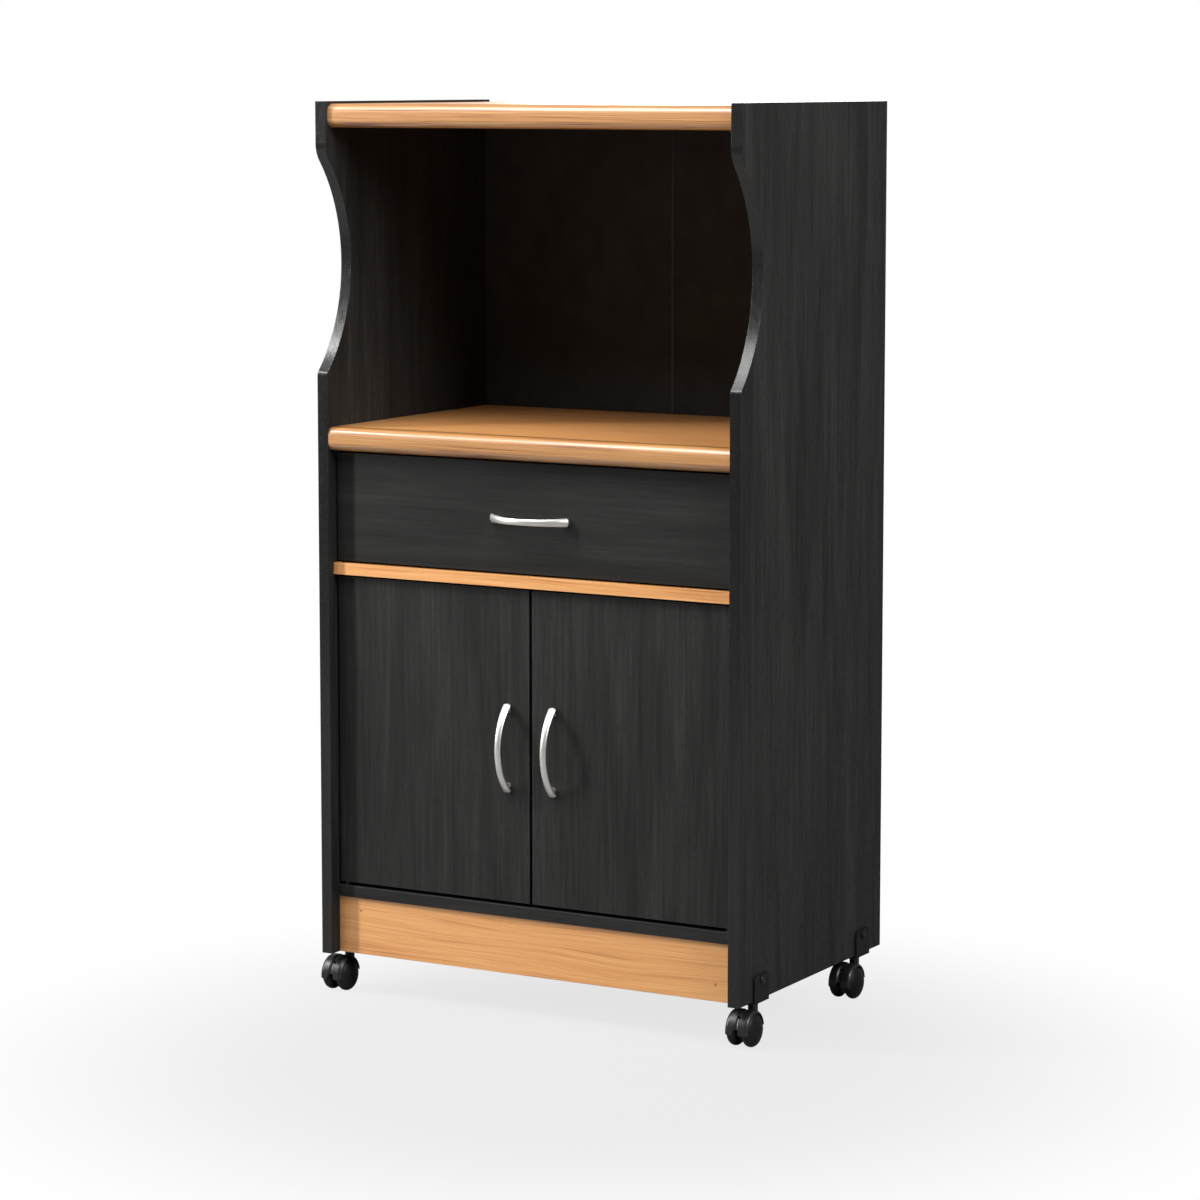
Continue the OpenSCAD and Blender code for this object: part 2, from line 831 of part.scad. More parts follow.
module drawer_side() {
    color(black_wood) difference() {
        translate([drawer_x - drawer_wall_t, door_back_y, drawer_z])
            cube([drawer_wall_t, drawer_l, drawer_side_h]);
        translate([drawer_x - drawer_wall_t - over, door_back_y - over, drawer_z + groove_up])
            cube([groove_deep + over, drawer_l + 2 * over, bottom_slot]);
        at_drawer_cams() drawer_cam_pocket();
        at_box_screws() {
            rod_x(screw_d + 2 * fit, drawer_wall_t + 2 * over);
            countersink();
        }
        at_drawer_runner_screws() rotate([0, 0, 180]) translate([-over, 0, 0])
            rod_x(screw_d + 2 * fit, drawer_runner_screw_l + fit + over);
    }
}

module drawer_right_side() {
    drawer_side();
}

module drawer_left_side() {
    mirror([1, 0, 0]) drawer_side();
}

module drawer_back() {
    color(black_wood) difference() {
        translate([-drawer_x + drawer_wall_t, drawer_end_y - drawer_wall_t, drawer_z])
            cube([2 * (drawer_x - drawer_wall_t), drawer_wall_t, drawer_side_h]);
        translate([-drawer_x, drawer_end_y - drawer_wall_t - over, drawer_z + groove_up])
            cube([2 * drawer_x, groove_deep + over, bottom_slot]);
        both_sides() at_box_screws()
            translate([-box_screw_l, 0, 0]) rod_x(screw_d + 2 * fit, box_screw_l);
    }
}

module drawer_bottom() {
    half = drawer_x - drawer_wall_t + groove_deep - fit;
    start_y = door_back_y - groove_deep + fit;
    end_y = drawer_end_y - drawer_wall_t + groove_deep - fit;
    color(hardboard) translate([-half, start_y, drawer_z + groove_up + fit])
        cube([2 * half, end_y - start_y, drawer_bottom_t]);
}

// Screws through the sides into the drawer's back; local x points outwards
module at_box_screws() {
    for (z = drawer_screw_zs)
        translate([drawer_x - drawer_wall_t, drawer_end_y - drawer_wall_t / 2, z]) children();
}

module countersink() {
    translate([drawer_wall_t - countersink_h, 0, 0]) rotate([0, 90, 0])
        cylinder(d1 = screw_d + 2 * fit, d2 = countersink_d + 0.8, h = countersink_h + 0.001);
}

module drawer_box_screws() {
    color(zinc) both_sides() at_box_screws() {
        translate([-box_screw_l + drawer_wall_t, 0, 0]) rod_x(screw_d, box_screw_l - 2);
        translate([drawer_wall_t - countersink_h, 0, 0]) rotate([0, 90, 0])
            cylinder(d1 = screw_d, d2 = countersink_d, h = 2);
    }
}

module drawer_front_cams() {
    color(zinc) both_sides() at_drawer_cams() drawer_cam();
}

module on_drawer() {
    translate([0, door_y, drawer_handle_z]) children();
}

module drawer_handle() {
    on_drawer() bow_handle();
}

module drawer_handle_screws() {
    on_drawer() handle_screws();
}

// ---------- Roller runners ----------
// Section, drawn for the right-hand side as [distance from the side panel, height]:
// the fixed channel opens towards the drawer, and its front roller carries the flange
// of the drawer's rail. The roller at the back of that rail rides in the channel.

// Puts a profile against the right-hand side panel, x running towards the drawer
module beside_panel(start_y, length) {
    translate([inner_x, start_y, 0]) mirror([1, 0, 0])
        translate([0, length, 0]) rotate([90, 0, 0]) linear_extrude(length) children();
}

module fixed_runner() {
    difference() {
        beside_panel(runner_y, runner_end_y - runner_y) {
            translate([0, runner_z]) square([sheet_t, channel_h]);
            translate([0, runner_z]) square([lip_w, sheet_t]);
            translate([0, runner_z + channel_h - sheet_t]) square([lip_w, sheet_t]);
        }
        at_runner_screws() translate([0, 0, -sheet_t - over])
            cylinder(d = screw_d + 2 * fit, h = sheet_t + 2 * over);
        // The channel is cut back round its front roller, as the flange rides higher there
        translate([inner_x - lip_w - over, runner_y - over, runner_z + channel_h - sheet_t - over / 2])
            cube([lip_w + over - sheet_t, over + 18, sheet_t + over]);
    }
    translate([inner_x - sheet_t + 0.001, front_roller_y, roller_z]) mirror([1, 0, 0]) {
        rod_x(roller_bore - 2 * run, roller_w + 1.2);
        translate([roller_w + 1, 0, 0]) rod_x(roller_bore + 2, 0.8);
    }
}

module fixed_runners() {
    color(coated_steel) both_sides() fixed_runner();
}

module roller() {
    difference() {
        rod_x(roller_d, roller_w);
        translate([-over, 0, 0]) rod_x(roller_bore, roller_w + 2 * over);
        translate([-over, 0, 0]) rod_x(roller_d - 5, over + 0.8);
    }
}

module fixed_runner_rollers() {
    color(nylon) both_sides()
        translate([inner_x - front_roller_x, front_roller_y, roller_z]) mirror([1, 0, 0]) roller();
}

module at_runner_screws() {
    for (y = runner_screw_ys)
        translate([inner_x, y, roller_z]) rotate([0, 90, 0]) children();
}

module fixed_runner_screws() {
    color(zinc) both_sides() at_runner_screws() {
        translate([0, 0, -sheet_t]) cylinder(d = screw_d, h = sheet_t + screw_l);
        translate([0, 0, -sheet_t]) mirror([0, 0, 1]) cylinder(d = 7, h = screw_head_h);
    }
}

module drawer_runner() {
    difference() {
        beside_panel(runner_y, runner_end_y - runner_y) {
            web_x = runner_gap - sheet_t;
            translate([web_x, drawer_z - sheet_t]) square([sheet_t, flange_z + 2 * sheet_t - drawer_z]);
            translate([web_x, drawer_z - sheet_t]) square([sheet_t + tray_w, sheet_t]);
            translate([3, flange_z]) square([web_x - 3 + 0.001, sheet_t]);
        }
        at_drawer_runner_screws() translate([-over, 0, 0]) rod_x(screw_d + 2 * fit, sheet_t + 2 * over);
    }
    translate([drawer_x + sheet_t - 0.001, rear_roller_y, roller_z]) {
        rod_x(roller_bore - 2 * run, roller_w + 1.4);
        translate([roller_w + 1.2, 0, 0]) rod_x(roller_bore + 2, 0.8);
    }
}

module drawer_runners() {
    color(coated_steel) both_sides() drawer_runner();
}

module drawer_runner_rollers() {
    color(nylon) both_sides()
        translate([inner_x - rear_roller_x - roller_w, rear_roller_y, roller_z]) roller();
}

// Screws of the drawer's rail sit below its flange; local x points outwards
module at_drawer_runner_screws() {
    for (y = [runner_y + 60, rear_roller_y - 60])
        translate([drawer_x, y, roller_z]) children();
}

// ---------- Casters ----------

stem_x = inner_x + board_t / 2;
stem_ys = [front_y + caster_inset - stem_ahead, back_y - caster_inset - stem_ahead];
stem_head_d = stem_d + 2.5;
stem_head_h = 2;
bolt_z = 25;
sleeve_d = 6;
bracket_screw_ys = [-11.2, 18];
bracket_in = 9.5;
bracket_round = 5;
web_t = 6;
wheel_side_gap = 0.4;
wheel_x = web_t / 2 + wheel_side_gap;
axle_d = 5;
axle_half_l = wheel_x + wheel_w - 4;
room_r = wheel_r + hood_gap;
hood_top = wheel_r + hood_r;
hood_half_w = hood_w / 2;
hood_round = 5;
hood_lip_r = wheel_r + 0.5;
hood_front = 7;
hood_back = 8;
valley_r = 5;
valley_d = 1.8;
slot_w = 4.5;
slot_l = 3.5;
slot_d = 2.5;
slot_turn = 130;
arch_w = 9;
arch_rise = 4;
boss_d = 12.5;
collar_h = 0.8;
boss_top = caster_h - bracket_t - seat - collar_h;
boss_foot = wheel_r + 4;
stem_clear = max(0, pow(room_r, 2) - pow(caster_trail - stem_d / 2, 2));
stem_foot = wheel_r + sqrt(stem_clear) + 1;

// The two casters under the right-hand panel; the frame is the swivel axis at the
// underside of the panel
module at_casters_right() {
    for (y = stem_ys)
        translate([stem_x, y, caster_h]) children();
}

// An angle: one leg on the outer face, the other under the panel's bottom edge
module caster_bracket() {
    out = board_t / 2;
    leg_top = bracket_h + bracket_t;
    difference() {
        union() {
            translate([out, stem_ahead, -bracket_t]) rotate([90, 0, 90]) linear_extrude(bracket_t) {
                translate([-bracket_w / 2, 0]) square([bracket_w, leg_top - bracket_round]);
                translate([-bracket_w / 2 + bracket_round, 0])
                    square([bracket_w - 2 * bracket_round, leg_top]);
                for (end = [-1, 1])
                    translate([end * (bracket_w / 2 - bracket_round), leg_top - bracket_round])
                        circle(r = bracket_round);
            }
            translate([-bracket_in, stem_ahead - bracket_w / 2, -bracket_t])
                cube([bracket_in + out + bracket_t, bracket_w, bracket_t]);
        }
        translate([0, 0, -bracket_t - over]) cylinder(d = stem_d + 4 * run, h = bracket_t + 2 * over);
        translate([out - over, stem_ahead, bolt_z])
            rod_x(sleeve_d + 2 * fit, bracket_t + 2 * over);
        for (y = bracket_screw_ys)
            translate([0, y, -bracket_t - over])
                cylinder(d = screw_d + 2 * fit, h = bracket_t + 2 * over);
    }
}

module caster_brackets() {
    color(black_steel) both_sides() at_casters_right() caster_bracket();
}

// Bolt from outside, cap nut inside, and two screws up into the panel's edge
module bracket_bolts() {
    out = board_t / 2;
    color(black_steel) both_sides() at_casters_right() {
        translate([-out, stem_ahead, bolt_z]) rod_x(sleeve_d, board_t + bracket_t);
        translate([out + bracket_t, stem_ahead, bolt_z]) rotate([0, 90, 0]) pan_head(11, 3.2);
        translate([-out - 1.5, stem_ahead, bolt_z]) rod_x(12, 1.5);
        for (y = bracket_screw_ys)
            translate([0, y, -bracket_t]) {
                cylinder(d = screw_d, h = bracket_t + screw_l);
                mirror([0, 0, 1]) pan_head(7, 2.2);
            }
    }
}

// Stands children at the axle, turned so that their z runs across the cart, their x
// back and their y up
module at_axle() {
    translate([0, -caster_trail, wheel_r]) rotate([90, 0, 90]) children();
}

// Outside of the hood as [radius, sideways]: rounded over each wheel, with a valley between
module hood_section() {
    difference() {
        union() {
            translate([hood_lip_r, -hood_half_w + hood_round])
                square([hood_r - hood_lip_r, 2 * (hood_half_w - hood_round)]);
            for (side = [-1, 1])
                translate([hood_r - hood_round, side * (hood_half_w - hood_round)])
                    circle(r = hood_round);
        }
        translate([0, -hood_half_w - over]) square([hood_lip_r, 2 * (hood_half_w + over)]);
        translate([hood_r + valley_r - valley_d, 0]) circle(r = valley_r);
    }
}

// Room that a wheel turns in, beside the web, up to the inside of the hood
module wheel_room_section() {
    room_round = hood_round - hood_t;
    corner_x = hood_half_w - hood_round;
    translate([0, web_t / 2]) square([room_r, corner_x - web_t / 2]);
    translate([0, corner_x - over]) square([room_r - room_round, room_round + over]);
    translate([room_r - room_round, corner_x]) circle(r = room_round);
}

// Moulded body: hood with its two lobes, boss with the stem's socket, and the web
// between the wheels
module caster_body() {
    color(black_plastic) difference() {
        union() {
            difference() {
                union() {
                    at_axle() rotate([0, 0, hood_back])
                        rotate_extrude(angle = 180 + hood_front - hood_back) hood_section();
                    translate([0, 0, boss_foot]) cylinder(d = boss_d, h = boss_top - boss_foot);
                }
                for (side = [0, 1])
                    mirror([side, 0, 0]) at_axle() rotate_extrude() wheel_room_section();
            }
            at_axle() translate([0, 0, -web_t / 2]) linear_extrude(web_t) difference() {
                circle(r = hood_r - valley_d - 0.4);
                translate([-hood_r, -hood_r]) square([2 * hood_r, hood_r - axle_d]);
            }
        }
        translate([0, 0, stem_foot]) cylinder(d = stem_d + 2 * run, h = boss_top);
        translate([-web_t, -caster_trail, wheel_r]) rod_x(axle_d + 2 * run, 2 * web_t);
        at_axle() rotate([0, 0, slot_turn])
            translate([hood_r - valley_d - slot_d, -slot_l / 2, -slot_w / 2])
                cube([hood_r, slot_l, slot_w]);
        at_axle() translate([-2 * hood_r, -hood_r, -arch_w / 2])
            cube([1.4 * hood_r, hood_r + arch_rise - arch_w / 2, arch_w]);
        at_axle() translate([-2 * hood_r, arch_rise - arch_w / 2, 0]) rod_x(arch_w, 1.4 * hood_r);
    }
}

// Swivel stem, riveted over in the bracket, and the axle
module caster_pins() {
    color(zinc) {
        translate([0, 0, stem_foot + fit])
            cylinder(d = stem_d, h = caster_h + seat + stem_head_h - stem_foot - fit);
        translate([0, 0, caster_h + seat]) cylinder(d = stem_head_d, h = stem_head_h);
        translate([0, 0, boss_top]) cylinder(d = stem_d + 4, h = collar_h);
        translate([-axle_half_l, -caster_trail, wheel_r]) rod_x(axle_d, 2 * axle_half_l);
    }
}

// One wheel, drawn on the +X side of the web: a round crown that runs into a domed face
tread_r = 7;
dome_rise = wheel_w - tread_r;
dome_reach = wheel_r - tread_r;
dome_r = (pow(dome_rise, 2) + pow(dome_reach, 2) - pow(tread_r, 2)) / (2 * (dome_rise - tread_r));

module caster_wheel() {
    color(black_plastic) translate([wheel_x, -caster_trail, wheel_r]) rotate([0, 90, 0])
        rotate_extrude() difference() {
            union() {
                square([dome_reach, tread_r]);
                translate([dome_reach, tread_r]) circle(r = tread_r);
                intersection() {
                    translate([0, tread_r]) square([dome_reach * dome_r / (dome_r - tread_r), wheel_w]);
                    translate([0, wheel_w - dome_r]) circle(r = dome_r);
                }
            }
            square([axle_d / 2 + run, axle_half_l - wheel_x + 0.5]);
        }
}

// Puts a caster under one corner: side is -1 or 1 across, end is 0 in front, 1 behind
module at_corner(side, end) {
    translate([side * stem_x, stem_ys[end], 0]) children();
}

module front_left_caster_body() { at_corner(-1, 0) caster_body(); }
module front_left_caster_pins() { at_corner(-1, 0) caster_pins(); }
module front_left_outer_wheel() { at_corner(-1, 0) mirror([1, 0, 0]) caster_wheel(); }
module front_left_inner_wheel() { at_corner(-1, 0) caster_wheel(); }

module front_right_caster_body() { at_corner(1, 0) caster_body(); }
module front_right_caster_pins() { at_corner(1, 0) caster_pins(); }
module front_right_outer_wheel() { at_corner(1, 0) caster_wheel(); }
module front_right_inner_wheel() { at_corner(1, 0) mirror([1, 0, 0]) caster_wheel(); }

module rear_left_caster_body() { at_corner(-1, 1) caster_body(); }
module rear_left_caster_pins() { at_corner(-1, 1) caster_pins(); }
module rear_left_outer_wheel() { at_corner(-1, 1) mirror([1, 0, 0]) caster_wheel(); }
module rear_left_inner_wheel() { at_corner(-1, 1) caster_wheel(); }

module rear_right_caster_body() { at_corner(1, 1) caster_body(); }
module rear_right_caster_pins() { at_corner(1, 1) caster_pins(); }
module rear_right_outer_wheel() { at_corner(1, 1) caster_wheel(); }
module rear_right_inner_wheel() { at_corner(1, 1) mirror([1, 0, 0]) caster_wheel(); }

left_side_panel();
right_side_panel();
top_board();
top_nosing();
worktop_board();
worktop_nosing();
divider_board();
bottom_board();
front_plinth();
rear_rail();
back_panels();
back_joint_strip();
cupboard_shelf();
shelf_pins();
cam_fasteners();
dowels();
fixed_runners();
fixed_runner_rollers();
fixed_runner_screws();
pivot_bushes();
magnetic_catch();
caster_brackets();
bracket_bolts();
drawer_front();
drawer_left_side();
drawer_right_side();
drawer_back();
drawer_bottom();
drawer_handle();
drawer_handle_screws();
drawer_runners();
drawer_runner_rollers();
drawer_box_screws();
drawer_front_cams();
left_door();
left_door_handle();
left_door_handle_screws();
left_door_pivots();
left_door_strike();
right_door();
right_door_handle();
right_door_handle_screws();
right_door_pivots();
right_door_strike();
front_left_caster_body();
front_left_caster_pins();
front_left_outer_wheel();
front_left_inner_wheel();
front_right_caster_body();
front_right_caster_pins();
front_right_outer_wheel();
front_right_inner_wheel();
rear_left_caster_body();
rear_left_caster_pins();
rear_left_outer_wheel();
rear_left_inner_wheel();
rear_right_caster_body();
rear_right_caster_pins();
rear_right_outer_wheel();
rear_right_inner_wheel();
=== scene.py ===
# %% [markdown]
# # A microwave cart in black woodgrain and beech
# The cart is flat-pack furniture: boards of chipboard with a printed woodgrain skin, two
# rounded beech nosings, bow handles and twin-wheel casters. Its pieces come from a CAD
# model that already has the right shape and size. This notebook gives every piece its
# finish, stands the cart on a pale floor and lights it.

# %% Load the model
import math

import bmesh
import bpy
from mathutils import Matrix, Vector


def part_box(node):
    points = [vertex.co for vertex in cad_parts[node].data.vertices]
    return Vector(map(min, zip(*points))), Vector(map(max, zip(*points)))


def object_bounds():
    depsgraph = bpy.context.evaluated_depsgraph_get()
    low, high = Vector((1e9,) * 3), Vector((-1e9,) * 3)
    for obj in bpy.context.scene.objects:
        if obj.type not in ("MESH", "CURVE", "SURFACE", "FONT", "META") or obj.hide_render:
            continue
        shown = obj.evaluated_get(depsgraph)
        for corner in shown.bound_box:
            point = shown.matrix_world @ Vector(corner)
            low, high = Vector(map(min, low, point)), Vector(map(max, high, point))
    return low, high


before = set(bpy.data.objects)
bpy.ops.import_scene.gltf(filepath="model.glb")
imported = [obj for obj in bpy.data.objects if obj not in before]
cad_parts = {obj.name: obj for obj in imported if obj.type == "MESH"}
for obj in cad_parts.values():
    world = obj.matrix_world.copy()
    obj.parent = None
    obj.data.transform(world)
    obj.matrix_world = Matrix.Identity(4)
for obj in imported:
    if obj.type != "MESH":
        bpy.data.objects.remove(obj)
CAD_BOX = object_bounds()
MM = 0.001
low, high = CAD_BOX
print("cart", [round((b - a) / MM, 1) for a, b in zip(low, high)], "mm over everything")

# %% [markdown]
# ## Three helpers
# Finishes are written as hex colours, the way a paint or laminate chart gives them. Those
# are sRGB numbers, and a shader works with linear light, so one function turns them over.
# The second function adds a node in one call: a plain value goes into a socket, and
# another node's output is linked to it. It hands back the node, or one output of it that
# can go straight into the next node. The third starts a material.

# %% Colour and node helpers
def linear(hex_colour):
    """An sRGB colour such as "#d9a066" as linear red, green, blue and alpha."""
    channels = [int(hex_colour[i:i + 2], 16) / 255 for i in (1, 3, 5)]
    return [c / 12.92 if c < 0.04045 else ((c + 0.055) / 1.055) ** 2.4 for c in channels] + [1.0]


def put(tree, kind, sockets=None, output=None, **settings):
    """Adds a node with its settings. sockets gives each input a value or an output to link.
    Returns the node, or its output of that name."""
    node = tree.nodes.new(kind)
    for name, value in settings.items():
        setattr(node, name, value)
    for name, value in (sockets or {}).items():
        if isinstance(value, bpy.types.NodeSocket):
            tree.links.new(value, node.inputs[name])
        else:
            node.inputs[name].default_value = value
    return node.outputs[output] if output else node


def new_material(name):
    """An empty node material: returns it, its tree and its surface shader."""
    material = bpy.data.materials.new(name)
    material.use_nodes = True
    tree = material.node_tree
    return material, tree, tree.nodes["Principled BSDF"]


print("mid grey as linear light:", [round(c, 3) for c in linear("#808080")[:3]])

# %% [markdown]
# ## The camera
# The photograph was taken with a long lens from about five metres away, some 30 degrees
# to the right of the front and three centimetres above the cart's top. The place was
# worked out from the photograph: the slopes of the boards' edges give the turn, and the
# thin line that is seen of the top gives the height. A long lens keeps the sides nearly
# parallel, and a small shift of the frame keeps the uprights from leaning together.

# %% Camera
CAMERA_PLACE = Vector((2.4145, -4.2372, 1.187))
CAMERA_TURN = 29.681      # degrees to the left of straight ahead
CAMERA_TILT = -6.775      # degrees, so a little down
CAMERA_LENS = 114.4       # mm
CAMERA_FILM = 36          # mm wide
CAMERA_SHIFT = -0.06      # share of the film's width

camera_data = bpy.data.cameras.new("camera")
camera_data.sensor_width = CAMERA_FILM
camera_data.lens = CAMERA_LENS
camera_data.shift_y = CAMERA_SHIFT
camera = bpy.data.objects.new("camera", camera_data)
camera.location = CAMERA_PLACE
camera.rotation_euler = (math.radians(90 + CAMERA_TILT), 0, math.radians(CAMERA_TURN))
bpy.context.scene.collection.objects.link(camera)
bpy.context.scene.camera = camera
print("camera", round((CAMERA_PLACE - (low + high) / 2).length, 2), "m from the cart's middle")

# %% [markdown]
# ## Floor and backdrop
# A studio sweep is one pale surface that turns up behind the object, so that no horizon
# shows. It could be a curved sheet, but that ends somewhere in a view from the back. One
# flat disc, far wider than any view, serves for all of them, because its finish fades
# into the white of the world.

# %% Floor disc
FLOOR_RADIUS = 9.0
FLOOR_SIDES = 96

floor_mesh = bpy.data.meshes.new("floor")
shape = bmesh.new()
bmesh.ops.create_circle(shape, cap_ends=True, radius=FLOOR_RADIUS, segments=FLOOR_SIDES)
shape.to_mesh(floor_mesh)
shape.free()
floor = bpy.data.objects.new("floor", floor_mesh)
bpy.context.scene.collection.objects.link(floor)
print("floor disc", 2 * FLOOR_RADIUS, "m across")

# %% [markdown]
# ## Floor finish
# The sweep is matt paper. A light under or behind it washes the shadows out until only a
# faint grey pool is left before the object. Here the paper is a diffuse grey that the
# camera alone sees mostly as its own pale light, so the cart throws faint shadows on it
# and no extra light reaches the cart. That light goes from light grey beside the cart to
# white further off, so the floor ends nowhere.

# %% Floor finish
FLOOR_GREYS = ("#959595", "#989898")
FLOOR_BLOTCHES = 3.0      # of these greys, to the metre
FLOOR_GLOW = 0.86         # share of the floor's own light beside the cart
GLOW_TONES = ("#f3f3f3", "#ffffff")
FADE_MIDDLE = (0.17, -0.3, 0)
FADE_START = 0.3          # metres from that middle where the floor begins to fade to white
FADE_END = 0.9

floor_paper, tree, shader = new_material("pale_studio_floor")
place = put(tree, "ShaderNodeTexCoord", output="Object")
distance = put(tree, "ShaderNodeVectorMath", {
    0: place, 1: FADE_MIDDLE,
}, "Value", operation="DISTANCE")
fade = put(tree, "ShaderNodeMapRange", {
    "Value": distance, "From Min": FADE_START, "From Max": FADE_END,
}, "Result", interpolation_type="SMOOTHSTEP")
glow = put(tree, "ShaderNodeMapRange", {"Value": fade, "To Min": FLOOR_GLOW}, "Result")
glow_tone = put(tree, "ShaderNodeMixRGB", {
    "Fac": fade, "Color1": linear(GLOW_TONES[0]), "Color2": linear(GLOW_TONES[1]),
}, "Color")
blotches = put(tree, "ShaderNodeTexNoise", {"Vector": place, "Scale": FLOOR_BLOTCHES}, "Fac")
grey = put(tree, "ShaderNodeMixRGB", {
    "Fac": blotches, "Color1": linear(FLOOR_GREYS[0]), "Color2": linear(FLOOR_GREYS[1]),
}, "Color")
tree.links.new(grey, shader.inputs["Base Color"])
shader.inputs["Roughness"].default_value = 0.75
shader.inputs["Specular IOR Level"].default_value = 0.2
camera_ray = put(tree, "ShaderNodeLightPath", output="Is Camera Ray")
share = put(tree, "ShaderNodeMath", {0: camera_ray, 1: glow}, "Value", operation="MULTIPLY")
own_light = put(tree, "ShaderNodeEmission", {"Color": glow_tone, "Strength": 1.0}, "Emission")
seen = put(tree, "ShaderNodeMixShader", {
    "Fac": share, 1: shader.outputs["BSDF"], 2: own_light,
}, "Shader")
tree.links.new(seen, tree.nodes["Material Output"].inputs["Surface"])
floor_mesh.materials.append(floor_paper)
print("floor fades to white between", FADE_START, "and", FADE_END, "m from its middle")

# %% [markdown]
# ## Lamps
# The shadows say where a photograph's lamps stood. The left panel's edge throws a shadow
# nearly twice as wide as the doors, the divider and the plinth lie behind it, so the main
# lamp stands 61 degrees round to the left. The shadow's side is crisp, but no shadow lies
# below the nosings, so this lamp is narrow and tall. A small lamp 30 degrees to the left
# softens it, and is kept out of reflections, where it would show as a second highlight. A
# third lights the right side and hardly reaches the front, a fourth the back. A softbox
# above the front gives the bright band along each nosing's upper half and on the foot of
# each cut-out.

# %% Lamps
AIM = Vector((0, 0, 0.62))                # a little above the cart's middle
TOP_LAMP_PLACE = Vector((-0.45, -1.1, 2.5))
TOP_LAMP_TILT = 25                        # degrees from straight down towards the cart


def area_lamp(name, place, size, watts):
    """A rectangular lamp that shines straight down. size is (width, height) in metres."""
    data = bpy.data.lights.new(name, "AREA")
    data.shape = "RECTANGLE"
    data.size, data.size_y = size
    data.energy = watts
    lamp = bpy.data.objects.new(name, data)
    lamp.location = place
    bpy.context.scene.collection.objects.link(lamp)
    return lamp


def standing_lamp(name, degrees_left, away, height, size, watts):
    """A lamp on a stand that shines at the cart. It stands degrees_left of the front,
    away metres off."""
    turn = math.radians(degrees_left)
    place = Vector((-math.sin(turn) * away, low.y - math.cos(turn) * away, height))
    lamp = area_lamp(name, place, size, watts)
    lamp.rotation_euler = (AIM - place).to_track_quat("-Z", "Y").to_euler()
    return lamp


# Each lamp's turn in degrees, then its distance, height and size in metres, and its watts
standing_lamp("tall_key_lamp", 61, 2.9, 2.1, (0.24, 2.5), 133)
front_lamp = standing_lamp("front_lamp", 30, 3.6, 1.5, (0.6, 0.35), 5)
front_lamp.visible_glossy = False
standing_lamp("side_lamp", -79, 2.4, 1.9, (0.9, 1.0), 57)
standing_lamp("rear_lamp", 160, 3.2, 1.7, (1.2, 1.2), 30)
top_lamp = area_lamp("top_lamp", TOP_LAMP_PLACE, (1.4, 1.1), 46)
top_lamp.rotation_euler = (math.radians(TOP_LAMP_TILT), 0, 0)

# %% [markdown]
# ## The room
# A studio is dim beside its lamps, so the cart's black stays black. Its walls still send
# a little light onto everything and show in a glossy surface, and the camera sees a white
# backdrop behind the cart. The Light Path node tells these rays apart, so the white of
# the backdrop adds no light to the cart.

# %% World
DIFFUSE_FILL = 0.08       # what the room sends onto every surface
MIRRORED_FILL = 0.25      # what a glossy surface finds in it

world = bpy.data.worlds.new("studio_world")
world.use_nodes = True
tree = world.node_tree
ray = put(tree, "ShaderNodeLightPath")
mirrored = put(tree, "ShaderNodeMapRange", {
    "Value": ray.outputs["Is Glossy Ray"], "To Min": DIFFUSE_FILL, "To Max": MIRRORED_FILL,
}, "Result")
fill = put(tree, "ShaderNodeMapRange", {
    "Value": ray.outputs["Is Camera Ray"], "To Min": mirrored, "To Max": 1.0,
}, "Result")
background = tree.nodes["Background"]
background.inputs["Color"].default_value = linear("#ffffff")
tree.links.new(fill, background.inputs["Strength"])
bpy.context.scene.world = world
bpy.context.scene.view_settings.view_transform = "Standard"
print("room fill", DIFFUSE_FILL, "and", MIRRORED_FILL, "in reflections")

# %% [markdown]
# ## Grain, and edges painted lighter
# A printed woodgrain is drawn out along its board. Noise is too when its coordinates are
# counted in grain widths across the board and in grain lengths along it, and so every
# pattern has a real size in millimetres. Hands and cloths polish a board's outer edges,
# and a rounded edge catches the light, so the finishes paint those edges lighter: partly
# for the rubbing, partly as a painted highlight. The Bevel node finds them: its rounded
# normal turns away from the true one there. Real rounding in the mesh would show the
# same, but the CAD model's meshes stay as they are.

# %% Grain and edge helpers
WORN_AND_HIGHLIGHT_FROM = 0.995         # rubbing and painted highlight begin where the rounded and the true normal agree this far,
WORN_AND_HIGHLIGHT_TO = 0.85            # and is full where they agree no further than this
BEVEL_SAMPLES = 6


def grain_space(tree, axis, across_mm, along_mm):
    """Object coordinates counted in grain widths across, and in grain lengths along axis."""
    place = put(tree, "ShaderNodeTexCoord", output="Object")
    scale = [1 / (across_mm * MM)] * 3
    scale["XYZ".index(axis)] = 1 / (along_mm * MM)
    return put(tree, "ShaderNodeVectorMath", {0: place, 1: scale}, "Vector", operation="MULTIPLY")


def edge_light(tree, width_mm):
    """0 on a flat face, rising to 1 on its outer edges, and the rounded normal."""
    rounded = put(tree, "ShaderNodeBevel", {
        "Radius": width_mm * MM}, "Normal", samples=BEVEL_SAMPLES)
    true_normal = put(tree, "ShaderNodeNewGeometry", output="Normal")
    facing = put(tree, "ShaderNodeVectorMath", {
        0: rounded, 1: true_normal}, "Value", operation="DOT_PRODUCT")
    edge = put(tree, "ShaderNodeMapRange", {
        "Value": facing, "From Min": WORN_AND_HIGHLIGHT_FROM, "From Max": WORN_AND_HIGHLIGHT_TO}, "Result")
    return edge, rounded


print("a worn edge starts at", round(math.degrees(math.acos(WORN_AND_HIGHLIGHT_FROM)), 1), "degrees of turn")
